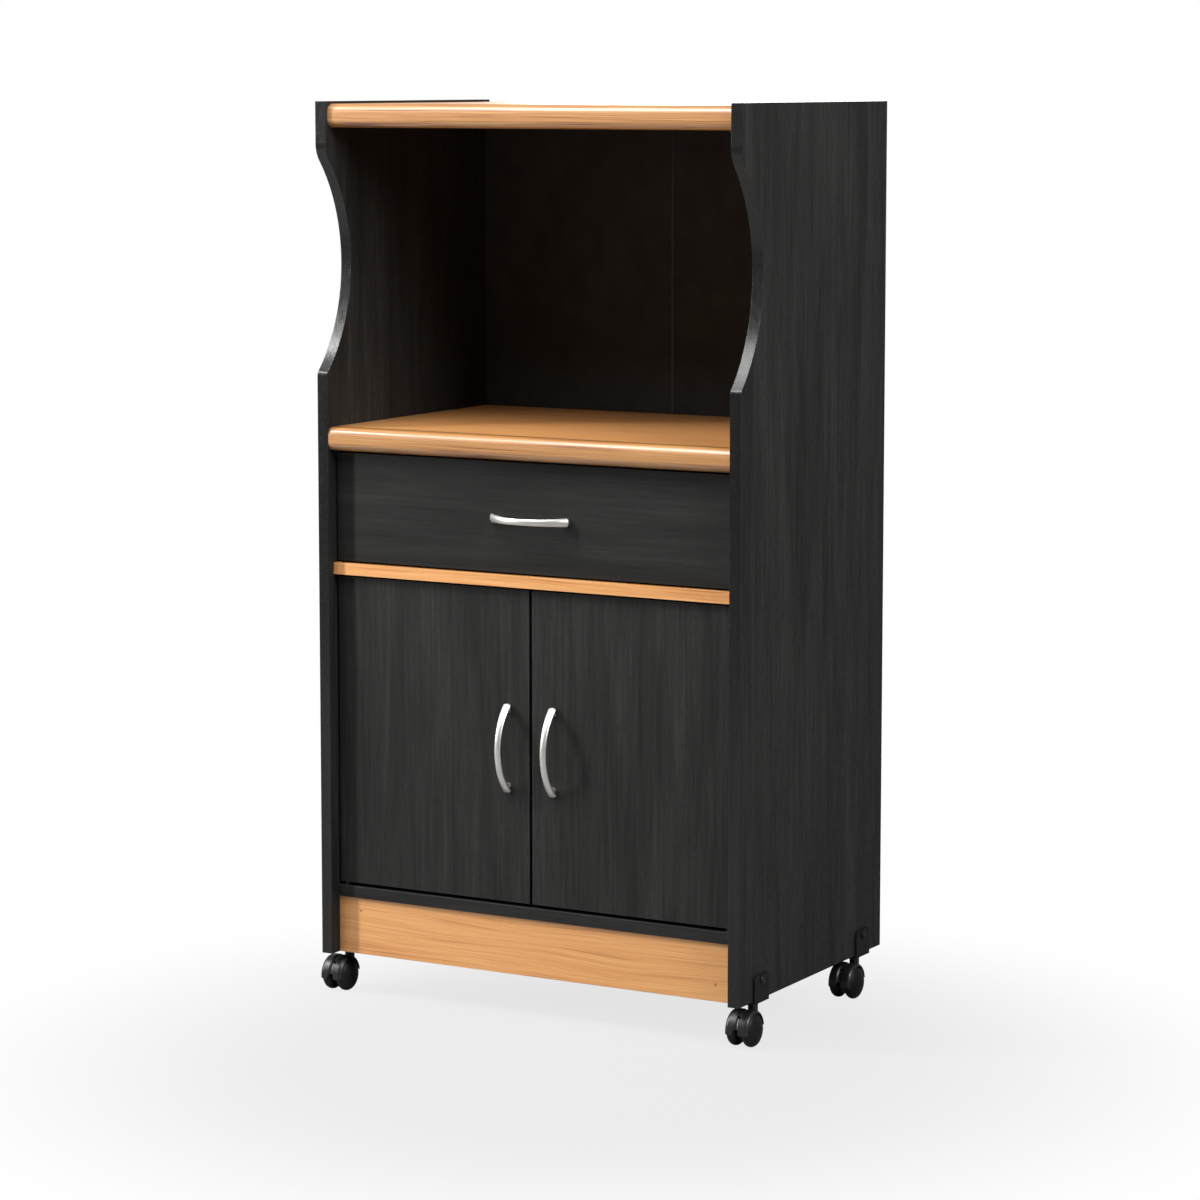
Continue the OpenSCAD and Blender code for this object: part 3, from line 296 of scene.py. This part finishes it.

# %% [markdown]
# ## Black woodgrain laminate
# The carcass, the doors and the drawer front are chipboard under a melamine laminate:
# paper printed with a near-black wood figure, pressed under heat against an embossed
# plate. The print gives streaks a few millimetres wide on slow bands, and the plate gives
# pores. A photograph of a board could be wrapped round the pieces, but three layers of
# noise give the same at any size and from every side. The grain runs up the doors and
# the panels and along the drawer front, so the print takes the grain's axis. Where it
# runs across, on the drawer and the cross boards, the same laminate is printed darker,
# as painted shade.

# %% Black wood print
BAND_TONES = ("#20201f", "#2e2e2d")
PORE_TONE = "#19191a"
BANDS = (45, 420)         # mm across and along the grain
STREAKS = (5.5, 150)
PORES = (1.4, 13)         # twice their real size, as they would be too fine to show
BAND_STOPS = (0.33, 0.68)     # noise at the darker and at the lighter tone
STREAK_STOPS = (0.35, 0.68)   # noise at the darkest and at the lightest streak
PORE_STOPS = (0.52, 0.7)      # noise at a pore's rim and in its middle
PORE_SHARE = 0.6          # of the pore's tone in its middle


def black_print(tree, axis, streak_tones):
    """The print's colour, and how deep its pores are, from 0 to 1. streak_tones are what
    the darkest and the lightest streak make of the bands' tone."""
    bands = put(tree, "ShaderNodeTexNoise", {
        "Vector": grain_space(tree, axis, *BANDS), "Scale": 1.0, "Detail": 3.0,
        "Roughness": 0.55, "Distortion": 0.6,
    }, "Fac")
    streaks = put(tree, "ShaderNodeTexNoise", {
        "Vector": grain_space(tree, axis, *STREAKS), "Scale": 1.0, "Detail": 4.0,
        "Roughness": 0.65, "Distortion": 0.3,
    }, "Fac")
    pores = put(tree, "ShaderNodeTexNoise", {
        "Vector": grain_space(tree, axis, *PORES), "Scale": 1.0, "Detail": 2.0,
        "Roughness": 0.6,
    }, "Fac")
    ramp = put(tree, "ShaderNodeValToRGB", {"Fac": bands})
    dark, light = ramp.color_ramp.elements
    dark.position, dark.color = BAND_STOPS[0], linear(BAND_TONES[0])
    light.position, light.color = BAND_STOPS[1], linear(BAND_TONES[1])
    streak_tone = put(tree, "ShaderNodeMapRange", {
        "Value": streaks, "From Min": STREAK_STOPS[0], "From Max": STREAK_STOPS[1],
        "To Min": streak_tones[0], "To Max": streak_tones[1],
    }, "Result")
    wood = put(tree, "ShaderNodeVectorMath", {
        0: ramp.outputs["Color"], "Scale": streak_tone}, "Vector", operation="SCALE")
    depth = put(tree, "ShaderNodeMapRange", {
        "Value": pores, "From Min": PORE_STOPS[0], "From Max": PORE_STOPS[1]}, "Result")
    share = put(tree, "ShaderNodeMath", {0: depth, 1: PORE_SHARE}, "Value", operation="MULTIPLY")
    colour = put(tree, "ShaderNodeMixRGB", {
        "Fac": share, "Color1": wood, "Color2": linear(PORE_TONE)}, "Color")
    return colour, depth


print("print with streaks", STREAKS[0], "mm and pores", PORES[0], "mm wide")

# %% [markdown]
# ## Edge bands
# Sawn chipboard is covered with a thin strip of black plastic, ironed on. It is darker and
# glossier than the faces, and lies a little unevenly over the chips, which mottles its
# highlights. The strips could be pieces of their own, but they are less than half a
# millimetre thick. So the finish tells them from the faces by their direction: a side
# panel's faces look along X, and all its edges look another way.

# %% Edge bands
STRIP_TONE = "#0c0c0c"
STRIP_COVER = 0.7         # how much of the print it hides
STRIP_SHEEN = (0.22, 0.28)    # its lowest and highest roughness
STRIP_MOTTLE = (6.5, 9)   # mm across and along
MOTTLE_STOPS = (0.35, 0.65)   # noise at the lowest and at the highest roughness
FACE_TURN = (0.2, 0.8)    # the normal's X up to which it is an edge, and from which a face
STRIP_GLOSS = 0.45
FACE_GLOSS = 0.15


def edge_bands(tree, axis, colour, sheen):
    """Takes the faces' colour and roughness, and returns the whole board's colour,
    roughness and gloss."""
    normal = put(tree, "ShaderNodeTexCoord", output="Normal")
    towards_x = put(tree, "ShaderNodeSeparateXYZ", {"Vector": normal}, "X")
    either_way = put(tree, "ShaderNodeMath", {0: towards_x}, "Value", operation="ABSOLUTE")
    on_face = put(tree, "ShaderNodeMapRange", {
        "Value": either_way, "From Min": FACE_TURN[0], "From Max": FACE_TURN[1]}, "Result")
    mottle = put(tree, "ShaderNodeTexNoise", {
        "Vector": grain_space(tree, axis, *STRIP_MOTTLE), "Scale": 1.0, "Detail": 2.0}, "Fac")
    strip_sheen = put(tree, "ShaderNodeMapRange", {
        "Value": mottle, "From Min": MOTTLE_STOPS[0], "From Max": MOTTLE_STOPS[1],
        "To Min": STRIP_SHEEN[0], "To Max": STRIP_SHEEN[1],
    }, "Result")
    sheen = put(tree, "ShaderNodeMapRange", {
        "Value": on_face, "To Min": strip_sheen, "To Max": sheen}, "Result")
    gloss = put(tree, "ShaderNodeMapRange", {
        "Value": on_face, "To Min": STRIP_GLOSS, "To Max": FACE_GLOSS}, "Result")
    cover = put(tree, "ShaderNodeMapRange", {
        "Value": on_face, "To Min": STRIP_COVER, "To Max": 0.0}, "Result")
    colour = put(tree, "ShaderNodeMixRGB", {
        "Fac": cover, "Color1": colour, "Color2": linear(STRIP_TONE)}, "Color")
    return colour, sheen, gloss


print("edge bands", STRIP_TONE, "with a gloss of", STRIP_GLOSS, "beside", FACE_GLOSS)

# %% [markdown]
# ## The laminate's finish
# Melamine resin has an index of 1.5, but the embossed plate leaves it dull, so its gloss
# is turned down. The pores are duller still, and a shallow bump sinks them, which breaks
# up the sheen as the eye moves past.

# %% Black laminates
# The lighter grey painted along the outer edges stands partly for rubbing and partly for a
# painted highlight.
WORN_AND_HIGHLIGHT_TONE = "#585857"
WORN_AND_HIGHLIGHT_SHARE = 0.45
WORN_AND_HIGHLIGHT_WIDTH_MM = 0.9
MELAMINE_IOR = 1.5
FACE_SHEEN = (0.5, 0.66)  # roughness between the pores, and in them
PORE_DEPTH = 0.12 * MM
PORE_RELIEF = 0.35        # strength of their bump


def black_laminate(name, axis, streak_tones, banded=False):
    """Melamine laminate with its grain along axis. A banded board has plastic strips on
    all the faces that don't look along X."""
    material, tree, shader = new_material(name)
    printed, depth = black_print(tree, axis, streak_tones)
    edge, rounded = edge_light(tree, WORN_AND_HIGHLIGHT_WIDTH_MM)
    # Outer edges painted lighter: partly rubbing, partly a painted highlight.
    worn_and_highlight = put(tree, "ShaderNodeMath", {0: edge, 1: WORN_AND_HIGHLIGHT_SHARE}, "Value", operation="MULTIPLY")
    colour = put(tree, "ShaderNodeMixRGB", {
        "Fac": worn_and_highlight, "Color1": printed, "Color2": linear(WORN_AND_HIGHLIGHT_TONE)}, "Color")
    sheen = put(tree, "ShaderNodeMapRange", {
        "Value": depth, "To Min": FACE_SHEEN[0], "To Max": FACE_SHEEN[1]}, "Result")
    shader.inputs["IOR"].default_value = MELAMINE_IOR
    shader.inputs["Specular IOR Level"].default_value = FACE_GLOSS
    if banded:
        colour, sheen, gloss = edge_bands(tree, axis, colour, sheen)
        tree.links.new(gloss, shader.inputs["Specular IOR Level"])
    tree.links.new(colour, shader.inputs["Base Color"])
    tree.links.new(sheen, shader.inputs["Roughness"])
    emboss = put(tree, "ShaderNodeBump", {
        "Height": depth, "Strength": PORE_RELIEF, "Distance": PORE_DEPTH, "Normal": rounded,
    }, "Normal", invert=True)
    tree.links.new(emboss, shader.inputs["Normal"])
    return material


BLACK_BANDED = black_laminate("black_laminate_edge_banded", "Z", (0.7, 1.3), banded=True)
BLACK_UP = black_laminate("black_laminate_grain_up", "Z", (0.73, 1.27))
# The boards with grain across get a painted shade: streak tones of 0.66 to 1.04 print them darker
# on average than the doors and panels.
BLACK_ACROSS_SHADED = black_laminate("black_laminate_grain_across_shaded", "X", (0.66, 1.04))
print("made", BLACK_BANDED.name, BLACK_UP.name, "and", BLACK_ACROSS_SHADED.name)

# %% [markdown]
# ## Beech growth lines
# The top, the worktop with its nosing, the divider's edge and the plinth wear a beech
# print. Beech is straight and pale, with growth lines a few millimetres apart. Straight
# bands would look ruled, so the lines are noise that is drawn out along the board, in
# coordinates that wander slowly to one side and back. Fine lines lie on slow ones.

# %% Growth lines
FINE_LENGTH_MM = 150
SLOW_LENGTH_MM = 420
SLOW_WIDTHS = 5           # fine lines to a slow one
FINE_SHARE = 0.62
WANDER = (55, 330)        # mm across and along


def growth_lines(tree, along, across, width_mm, length_mm, detail):
    """Noise from 0 to 1, drawn out along the grain. along and across are in metres."""
    lengths = put(tree, "ShaderNodeMath", {
        0: along, 1: 1 / (length_mm * MM)}, "Value", operation="MULTIPLY")
    widths = put(tree, "ShaderNodeMath", {
        0: across, 1: 1 / (width_mm * MM)}, "Value", operation="MULTIPLY")
    spot = put(tree, "ShaderNodeCombineXYZ", {"X": lengths, "Y": widths}, "Vector")
    return put(tree, "ShaderNodeTexNoise", {
        "Vector": spot, "Scale": 1.0, "Detail": detail, "Roughness": 0.6}, "Fac")


def beech_figure(tree, along, across, line_mm):
    """Fine growth lines on slow ones, from 0 to 1."""
    slow = growth_lines(tree, along, across, line_mm * SLOW_WIDTHS, SLOW_LENGTH_MM, 2.0)
    fine = growth_lines(tree, along, across, line_mm, FINE_LENGTH_MM, 3.0)
    slow_part = put(tree, "ShaderNodeMath", {
        0: slow, 1: 1 - FINE_SHARE}, "Value", operation="MULTIPLY")
    return put(tree, "ShaderNodeMath", {
        0: fine, 1: FINE_SHARE, 2: slow_part}, "Value", operation="MULTIPLY_ADD")


print("growth lines", FINE_LENGTH_MM, "and", SLOW_LENGTH_MM, "mm long")

# %% [markdown]
# ## Knots
# The plinth was printed from a wider board: its lines bow into long arches, and it has two
# small knots. A knot is where a branch began. The growth lines part round it, and its
# core is dark. Both depend on the distance from the knot's middle alone, so one loop
# gives every knot its bulge in the lines and its dark core.

# %% Knots
KNOT_DARKNESS = 0.7
KNOT_CORE = 0.2           # of its radius is fully dark
KNOT_PUSH = 0.5           # radii that the lines give way at its middle
KNOT_REACH = 5            # radii out to where they run straight again


def part_round_knots(tree, place, across, knots):
    """Pushes the growth lines aside round each knot, and says how dark the knots make the
    wood. knots are (middle, radius) pairs in metres."""
    darkness = 0.0
    for middle, radius in knots:
        gap = put(tree, "ShaderNodeVectorMath", {
            0: place, 1: middle}, "Value", operation="DISTANCE")
        bulge = put(tree, "ShaderNodeMapRange", {
            "Value": gap, "From Max": radius * KNOT_REACH,
            "To Min": radius * KNOT_PUSH, "To Max": 0.0,
        }, "Result", interpolation_type="SMOOTHSTEP")
        across = put(tree, "ShaderNodeMath", {0: across, 1: bulge}, "Value", operation="ADD")
        core = put(tree, "ShaderNodeMapRange", {
            "Value": gap, "From Min": radius * KNOT_CORE, "From Max": radius,
            "To Min": KNOT_DARKNESS, "To Max": 0.0,
        }, "Result", interpolation_type="SMOOTHSTEP")
        darkness = put(tree, "ShaderNodeMath", {
            0: darkness, 1: core}, "Value", operation="MAXIMUM")
    return across, darkness


plinth_low, plinth_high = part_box("front_plinth")
KNOTS = [                 # one near each end, on the plinth's front
    (Vector((plinth_low.x + 33 * MM, plinth_low.y, plinth_low.z + 57 * MM)), 2.5 * MM),
    (Vector((plinth_high.x - 27 * MM, plinth_low.y, plinth_low.z + 21 * MM)), 3 * MM),
]
print(len(KNOTS), "knots on a plinth", round((plinth_high.x - plinth_low.x) / MM), "mm long")

# %% [markdown]
# ## Beech finish
# The lines' noise picks a colour from a ramp of four wood tones. Short darker flecks lie
# over it, where the rays of the wood are cut. They are drawn about twice their real
# width, or they wouldn't show. The nosings are wrapped in a smooth foil, far glossier
# than the flat boards, and their tones are darker; the plinth is the dullest. The shader's
# coat stands for the clear layer over the print: its index is 1.6 on a polyester foil and
# about 1.45 on a board's thin lacquer.

# %% Beech
BEECH_TONES = ("#a56532", "#d49253", "#dd9e5e", "#e5ac70")
FOIL_TONES = ("#6b3817", "#a46e3b", "#b3804b", "#c49661")
FLECK_TONE = "#b87840"
KNOT_TONE = "#6d3413"
# The next tone goes on the outer edges: partly rubbing, partly a painted highlight.
WORN_AND_HIGHLIGHT_BEECH_TONE = "#efc896"
TONE_STOPS = (0.44, 0.52, 0.66)   # where the three paler tones stand in the noise
FLECKS = (1.1, 9)         # mm across and along
FLECK_STOPS = (0.64, 0.74)    # noise at a fleck's rim and in its middle
FLECK_SHARE = 0.28        # of the fleck's tone in its middle
FLECK_DEPTH = 0.08 * MM
FLECK_RELIEF = 0.15       # strength of their bump
PRINT_ROUGHNESS = 0.45    # under the clear layer
# How much and how wide the pale edge goes on: partly rubbing, partly a painted highlight.
BEECH_WEAR_AND_HIGHLIGHT = 0.2
BEECH_WEAR_AND_HIGHLIGHT_MM = 0.8


def beech(name, tones, sheen, line_mm, arch_mm, dark_stop, coat_ior=1.45, knots=()):
    """Beech print with its grain along X. sheen is the roughness of its clear layer.
    line_mm is the width of the fine lines and arch_mm how far they wander from the
    straight. dark_stop is where the darkest tone ends in the noise: higher is darker."""
    material, tree, shader = new_material(name)
    place = put(tree, "ShaderNodeTexCoord", output="Object")
    split = put(tree, "ShaderNodeSeparateXYZ", {"Vector": place})
    straight = put(tree, "ShaderNodeMath", {
        0: split.outputs["Y"], 1: split.outputs["Z"]}, "Value", operation="ADD")
    wander = put(tree, "ShaderNodeTexNoise", {
        "Vector": grain_space(tree, "X", *WANDER), "Scale": 1.0, "Detail": 1.5}, "Fac")
    arched = put(tree, "ShaderNodeMath", {
        0: wander, 1: arch_mm * MM, 2: straight}, "Value", operation="MULTIPLY_ADD")
    across, darkness = part_round_knots(tree, place, arched, knots)

    figure = beech_figure(tree, split.outputs["X"], across, line_mm)
    ramp = put(tree, "ShaderNodeValToRGB", {"Fac": figure})
    stops = ramp.color_ramp.elements
    stops[0].position, stops[0].color = dark_stop, linear(tones[0])
    stops[1].position, stops[1].color = TONE_STOPS[2], linear(tones[3])
    stops.new(TONE_STOPS[0]).color = linear(tones[1])
    stops.new(TONE_STOPS[1]).color = linear(tones[2])

    flecks = put(tree, "ShaderNodeTexNoise", {
        "Vector": grain_space(tree, "X", *FLECKS), "Scale": 1.0, "Detail": 1.0}, "Fac")
    fleck = put(tree, "ShaderNodeMapRange", {
        "Value": flecks, "From Min": FLECK_STOPS[0], "From Max": FLECK_STOPS[1],
        "To Max": FLECK_SHARE,
    }, "Result")
    flecked = put(tree, "ShaderNodeMixRGB", {
        "Fac": fleck, "Color1": ramp.outputs["Color"], "Color2": linear(FLECK_TONE)}, "Color")
    knotted = put(tree, "ShaderNodeMixRGB", {
        "Fac": darkness, "Color1": flecked, "Color2": linear(KNOT_TONE)}, "Color")
    # Outer edges painted paler: partly rubbing, partly a painted highlight.
    edge, rounded = edge_light(tree, BEECH_WEAR_AND_HIGHLIGHT_MM)
    worn_and_highlight = put(tree, "ShaderNodeMath", {0: edge, 1: BEECH_WEAR_AND_HIGHLIGHT}, "Value", operation="MULTIPLY")
    colour = put(tree, "ShaderNodeMixRGB", {
        "Fac": worn_and_highlight, "Color1": knotted, "Color2": linear(WORN_AND_HIGHLIGHT_BEECH_TONE)}, "Color")
    tree.links.new(colour, shader.inputs["Base Color"])
    emboss = put(tree, "ShaderNodeBump", {
        "Height": fleck, "Strength": FLECK_RELIEF, "Distance": FLECK_DEPTH, "Normal": rounded,
    }, "Normal", invert=True)
    tree.links.new(emboss, shader.inputs["Normal"])
    shader.inputs["Roughness"].default_value = PRINT_ROUGHNESS
    shader.inputs["Coat Weight"].default_value = 1.0
    shader.inputs["Coat Roughness"].default_value = sheen
    shader.inputs["Coat IOR"].default_value = coat_ior
    return material


BEECH_NOSING = beech("glossy_beech_foil", FOIL_TONES, sheen=0.2, line_mm=0.9, arch_mm=6,
                     dark_stop=0.38, coat_ior=1.6)
BEECH_BOARD = beech("beech_board", BEECH_TONES, sheen=0.3, line_mm=2.2, arch_mm=24,
                    dark_stop=0.32)
BEECH_PLINTH = beech("beech_plinth_board", BEECH_TONES, sheen=0.36, line_mm=1.0, arch_mm=30,
                     dark_stop=0.3, knots=KNOTS)
print("made", BEECH_NOSING.name, BEECH_BOARD.name, "and", BEECH_PLINTH.name)

# %% [markdown]
# ## Hardboard, plastics and metals
# The rest are plain industrial finishes, and each still varies a little over its surface.
# One maker serves them all, because they differ in colour, sheen, grain and metal only:
# fine noise gives the grain, its bump and its sheen, and slow noise clouds the colour. The
# real grain of most is a tenth of a millimetre or less. It wouldn't show, so it is drawn
# 0.5 to 2.5 mm wide. The shader's own index of 1.5 suits plastics, paints and wood alike.

# %% One maker for moulded, coated and plated surfaces
CLOUD_MM = 30             # width of a cloud in the colour
SPECKLE_STOPS = (0.1, 0.42)   # grain times cloud, at the dark and at the light colour
GRAIN_STOPS = (0.3, 0.7)  # grain at the lowest and at the highest roughness
GRAIN_RELIEF = 0.3        # strength of its bump
CORNER_MM = 0.5           # width of an edge painted lighter, partly rubbing and partly a painted highlight
WORN_AND_HIGHLIGHT_LIGHTER = 1.7        # times the colour on such an edge


def speckled(name, dark, light, grain_mm, sheen, bump_mm, metal=0.0, stretch=(1, 1, 1),
             wear_and_highlight=0.3, gloss=0.5):
    """A surface whose tone and sheen vary with a fine grain.
    dark and light are its colours, and sheen is its lowest and highest roughness. stretch
    draws the grain out along the axes, and wear_and_highlight is how much lighter its
    edges are painted, partly for rubbing and partly as a painted highlight."""
    material, tree, shader = new_material(name)
    place = put(tree, "ShaderNodeTexCoord", output="Object")
    in_grains = put(tree, "ShaderNodeVectorMath", {
        0: place, 1: [1 / (grain_mm * MM * s) for s in stretch],
    }, "Vector", operation="MULTIPLY")
    grain = put(tree, "ShaderNodeTexNoise", {
        "Vector": in_grains, "Scale": 1.0, "Detail": 3.0}, "Fac")
    cloud = put(tree, "ShaderNodeTexNoise", {
        "Vector": place, "Scale": 1 / (CLOUD_MM * MM), "Detail": 2.0}, "Fac")
    both = put(tree, "ShaderNodeMath", {0: grain, 1: cloud}, "Value", operation="MULTIPLY")
    share = put(tree, "ShaderNodeMapRange", {
        "Value": both, "From Min": SPECKLE_STOPS[0], "From Max": SPECKLE_STOPS[1]}, "Result")
    base = put(tree, "ShaderNodeMixRGB", {
        "Fac": share, "Color1": linear(dark), "Color2": linear(light)}, "Color")
    # Edges painted lighter: partly rubbing, partly a painted highlight.
    edge, rounded = edge_light(tree, CORNER_MM)
    worn_and_highlight = put(tree, "ShaderNodeMath", {0: edge, 1: wear_and_highlight}, "Value", operation="MULTIPLY")
    lighter = put(tree, "ShaderNodeVectorMath", {
        0: base, "Scale": WORN_AND_HIGHLIGHT_LIGHTER}, "Vector", operation="SCALE")
    colour = put(tree, "ShaderNodeMixRGB", {
        "Fac": worn_and_highlight, "Color1": base, "Color2": lighter}, "Color")
    roughness = put(tree, "ShaderNodeMapRange", {
        "Value": grain, "From Min": GRAIN_STOPS[0], "From Max": GRAIN_STOPS[1],
        "To Min": sheen[0], "To Max": sheen[1],
    }, "Result")
    relief = put(tree, "ShaderNodeBump", {
        "Height": grain, "Strength": GRAIN_RELIEF, "Distance": bump_mm * MM, "Normal": rounded,
    }, "Normal")
    tree.links.new(colour, shader.inputs["Base Color"])
    tree.links.new(roughness, shader.inputs["Roughness"])
    tree.links.new(relief, shader.inputs["Normal"])
    shader.inputs["Metallic"].default_value = metal
    shader.inputs["Specular IOR Level"].default_value = gloss
    return material


# Hardboard is pressed wood fibre, rolled once with black paint: matt and a little cloudy.
HARDBOARD = speckled("painted_hardboard", "#2a2b2b", "#363736", 0.9, (0.6, 0.75), 0.05,
                     wear_and_highlight=0.1, gloss=0.1)
# Polypropylene comes satin from a spark-eroded mould, with a soft light on its corners.
MOULDED_BLACK = speckled("moulded_black_polypropylene", "#111112", "#1e1e1f", 0.8,
                         (0.3, 0.4), 0.02)
# The wheels are nylon, blacker than the body over them, and rolling keeps them dull.
WHEEL_BLACK = speckled("moulded_black_nylon", "#0a0a0a", "#111111", 1.2, (0.42, 0.55), 0.02,
                       gloss=0.25)
# Powder coat is baked plastic dust: dull, with the dimples of an orange's peel.
POWDER_COAT = speckled("black_powder_coat", "#141414", "#1d1d1d", 1.0, (0.5, 0.6), 0.04,
                       gloss=0.2)
print("made", HARDBOARD.name, MOULDED_BLACK.name, WHEEL_BLACK.name, "and", POWDER_COAT.name)

# %% [markdown]
# ## Plated and pale parts
# Plating takes its gloss from the metal under it, so a brushed handle stays satin under
# its chrome. The same maker serves, with its metal turned up. The runners, their rollers
# and the dowels are pale, and only show when the drawer is pulled out or the boards are
# taken apart.

# %% Metals, nylon and dowels
# Zinc plate is dipped to turn it black: half a metal's shine, on bolts and pivot pins.
BLACK_ZINC = speckled("black_zinc_plate", "#1b1b1c", "#303031", 0.6, (0.24, 0.32), 0.02,
                      metal=0.6)
# The handles are brushed before they are chromed, so their highlights are broad and soft.
SATIN_CHROME = speckled("satin_chrome_plate", "#dad8d3", "#e5e3df", 0.5, (0.36, 0.42), 0.002,
                        metal=0.9, wear_and_highlight=0.0)
# Bright zinc is blue-grey, with a cloudy bloom from its rinse.
ZINC = speckled("bright_zinc_plate", "#9b9ea0", "#c3c6c8", 2.5, (0.25, 0.4), 0.01, metal=1.0)
# The runners are rolled steel under baked epoxy, as smooth as enamel.
COATED_STEEL = speckled("epoxy_coated_steel", "#cfcec7", "#dddcd6", 1.0, (0.35, 0.45), 0.03)
# Undyed nylon is milky, with a waxy shine.
NYLON = speckled("natural_nylon", "#dcd9ce", "#eae8df", 1.4, (0.35, 0.5), 0.02)
# A dowel is turned from raw beech, and keeps the wood's lines along its length.
DOWEL_BEECH = speckled("turned_beech_dowel", "#c09a68", "#dcbb8b", 1.0, (0.55, 0.7), 0.04,
                       stretch=(12, 1, 1))
print("made", BLACK_ZINC.name, SATIN_CHROME.name, ZINC.name, COATED_STEEL.name, NYLON.name,
      "and", DOWEL_BEECH.name)

# %% [markdown]
# ## Giving each node its finish
# The grain of a board follows its longest side, as it is cut from the sheet: up on the
# panels and doors, along on the drawer and the cross boards. The casters are alike, so
# the end of a node's name tells what it is. Screws, cams, axles, shelf pins and strike
# plates aren't listed, because all plain hardware is zinc-plated.

# %% Finishes by node
FINISHES = {
    "left_side_panel": BLACK_BANDED, "right_side_panel": BLACK_BANDED,
    "left_door": BLACK_UP, "right_door": BLACK_UP,
    # The drawer and the cross boards take the darker print, a painted shade.
    "drawer_front": BLACK_ACROSS_SHADED, "drawer_back": BLACK_ACROSS_SHADED,
    "drawer_left_side": BLACK_ACROSS_SHADED, "drawer_right_side": BLACK_ACROSS_SHADED,
    "bottom_board": BLACK_ACROSS_SHADED, "cupboard_shelf": BLACK_ACROSS_SHADED, "rear_rail": BLACK_ACROSS_SHADED,
    "top_board": BEECH_BOARD, "worktop_board": BEECH_BOARD, "divider_board": BEECH_BOARD,
    "top_nosing": BEECH_NOSING, "worktop_nosing": BEECH_NOSING,
    "front_plinth": BEECH_PLINTH,
    "back_panels": HARDBOARD, "drawer_bottom": HARDBOARD,
    "back_joint_strip": MOULDED_BLACK, "magnetic_catch": MOULDED_BLACK,
    "pivot_bushes": MOULDED_BLACK,
    "caster_brackets": POWDER_COAT,
    "bracket_bolts": BLACK_ZINC, "left_door_pivots": BLACK_ZINC,
    "right_door_pivots": BLACK_ZINC,
    "drawer_handle": SATIN_CHROME, "left_door_handle": SATIN_CHROME,
    "right_door_handle": SATIN_CHROME,
    "fixed_runners": COATED_STEEL, "drawer_runners": COATED_STEEL,
    "fixed_runner_rollers": NYLON, "drawer_runner_rollers": NYLON,
    "dowels": DOWEL_BEECH,
}
for name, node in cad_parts.items():
    if name.endswith("caster_body"):
        finish = MOULDED_BLACK
    elif name.endswith("wheel"):
        finish = WHEEL_BLACK
    else:
        finish = FINISHES.get(name, ZINC)
    node.data.materials.clear()
    node.data.materials.append(finish)
print(len(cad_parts), "nodes have a finish")
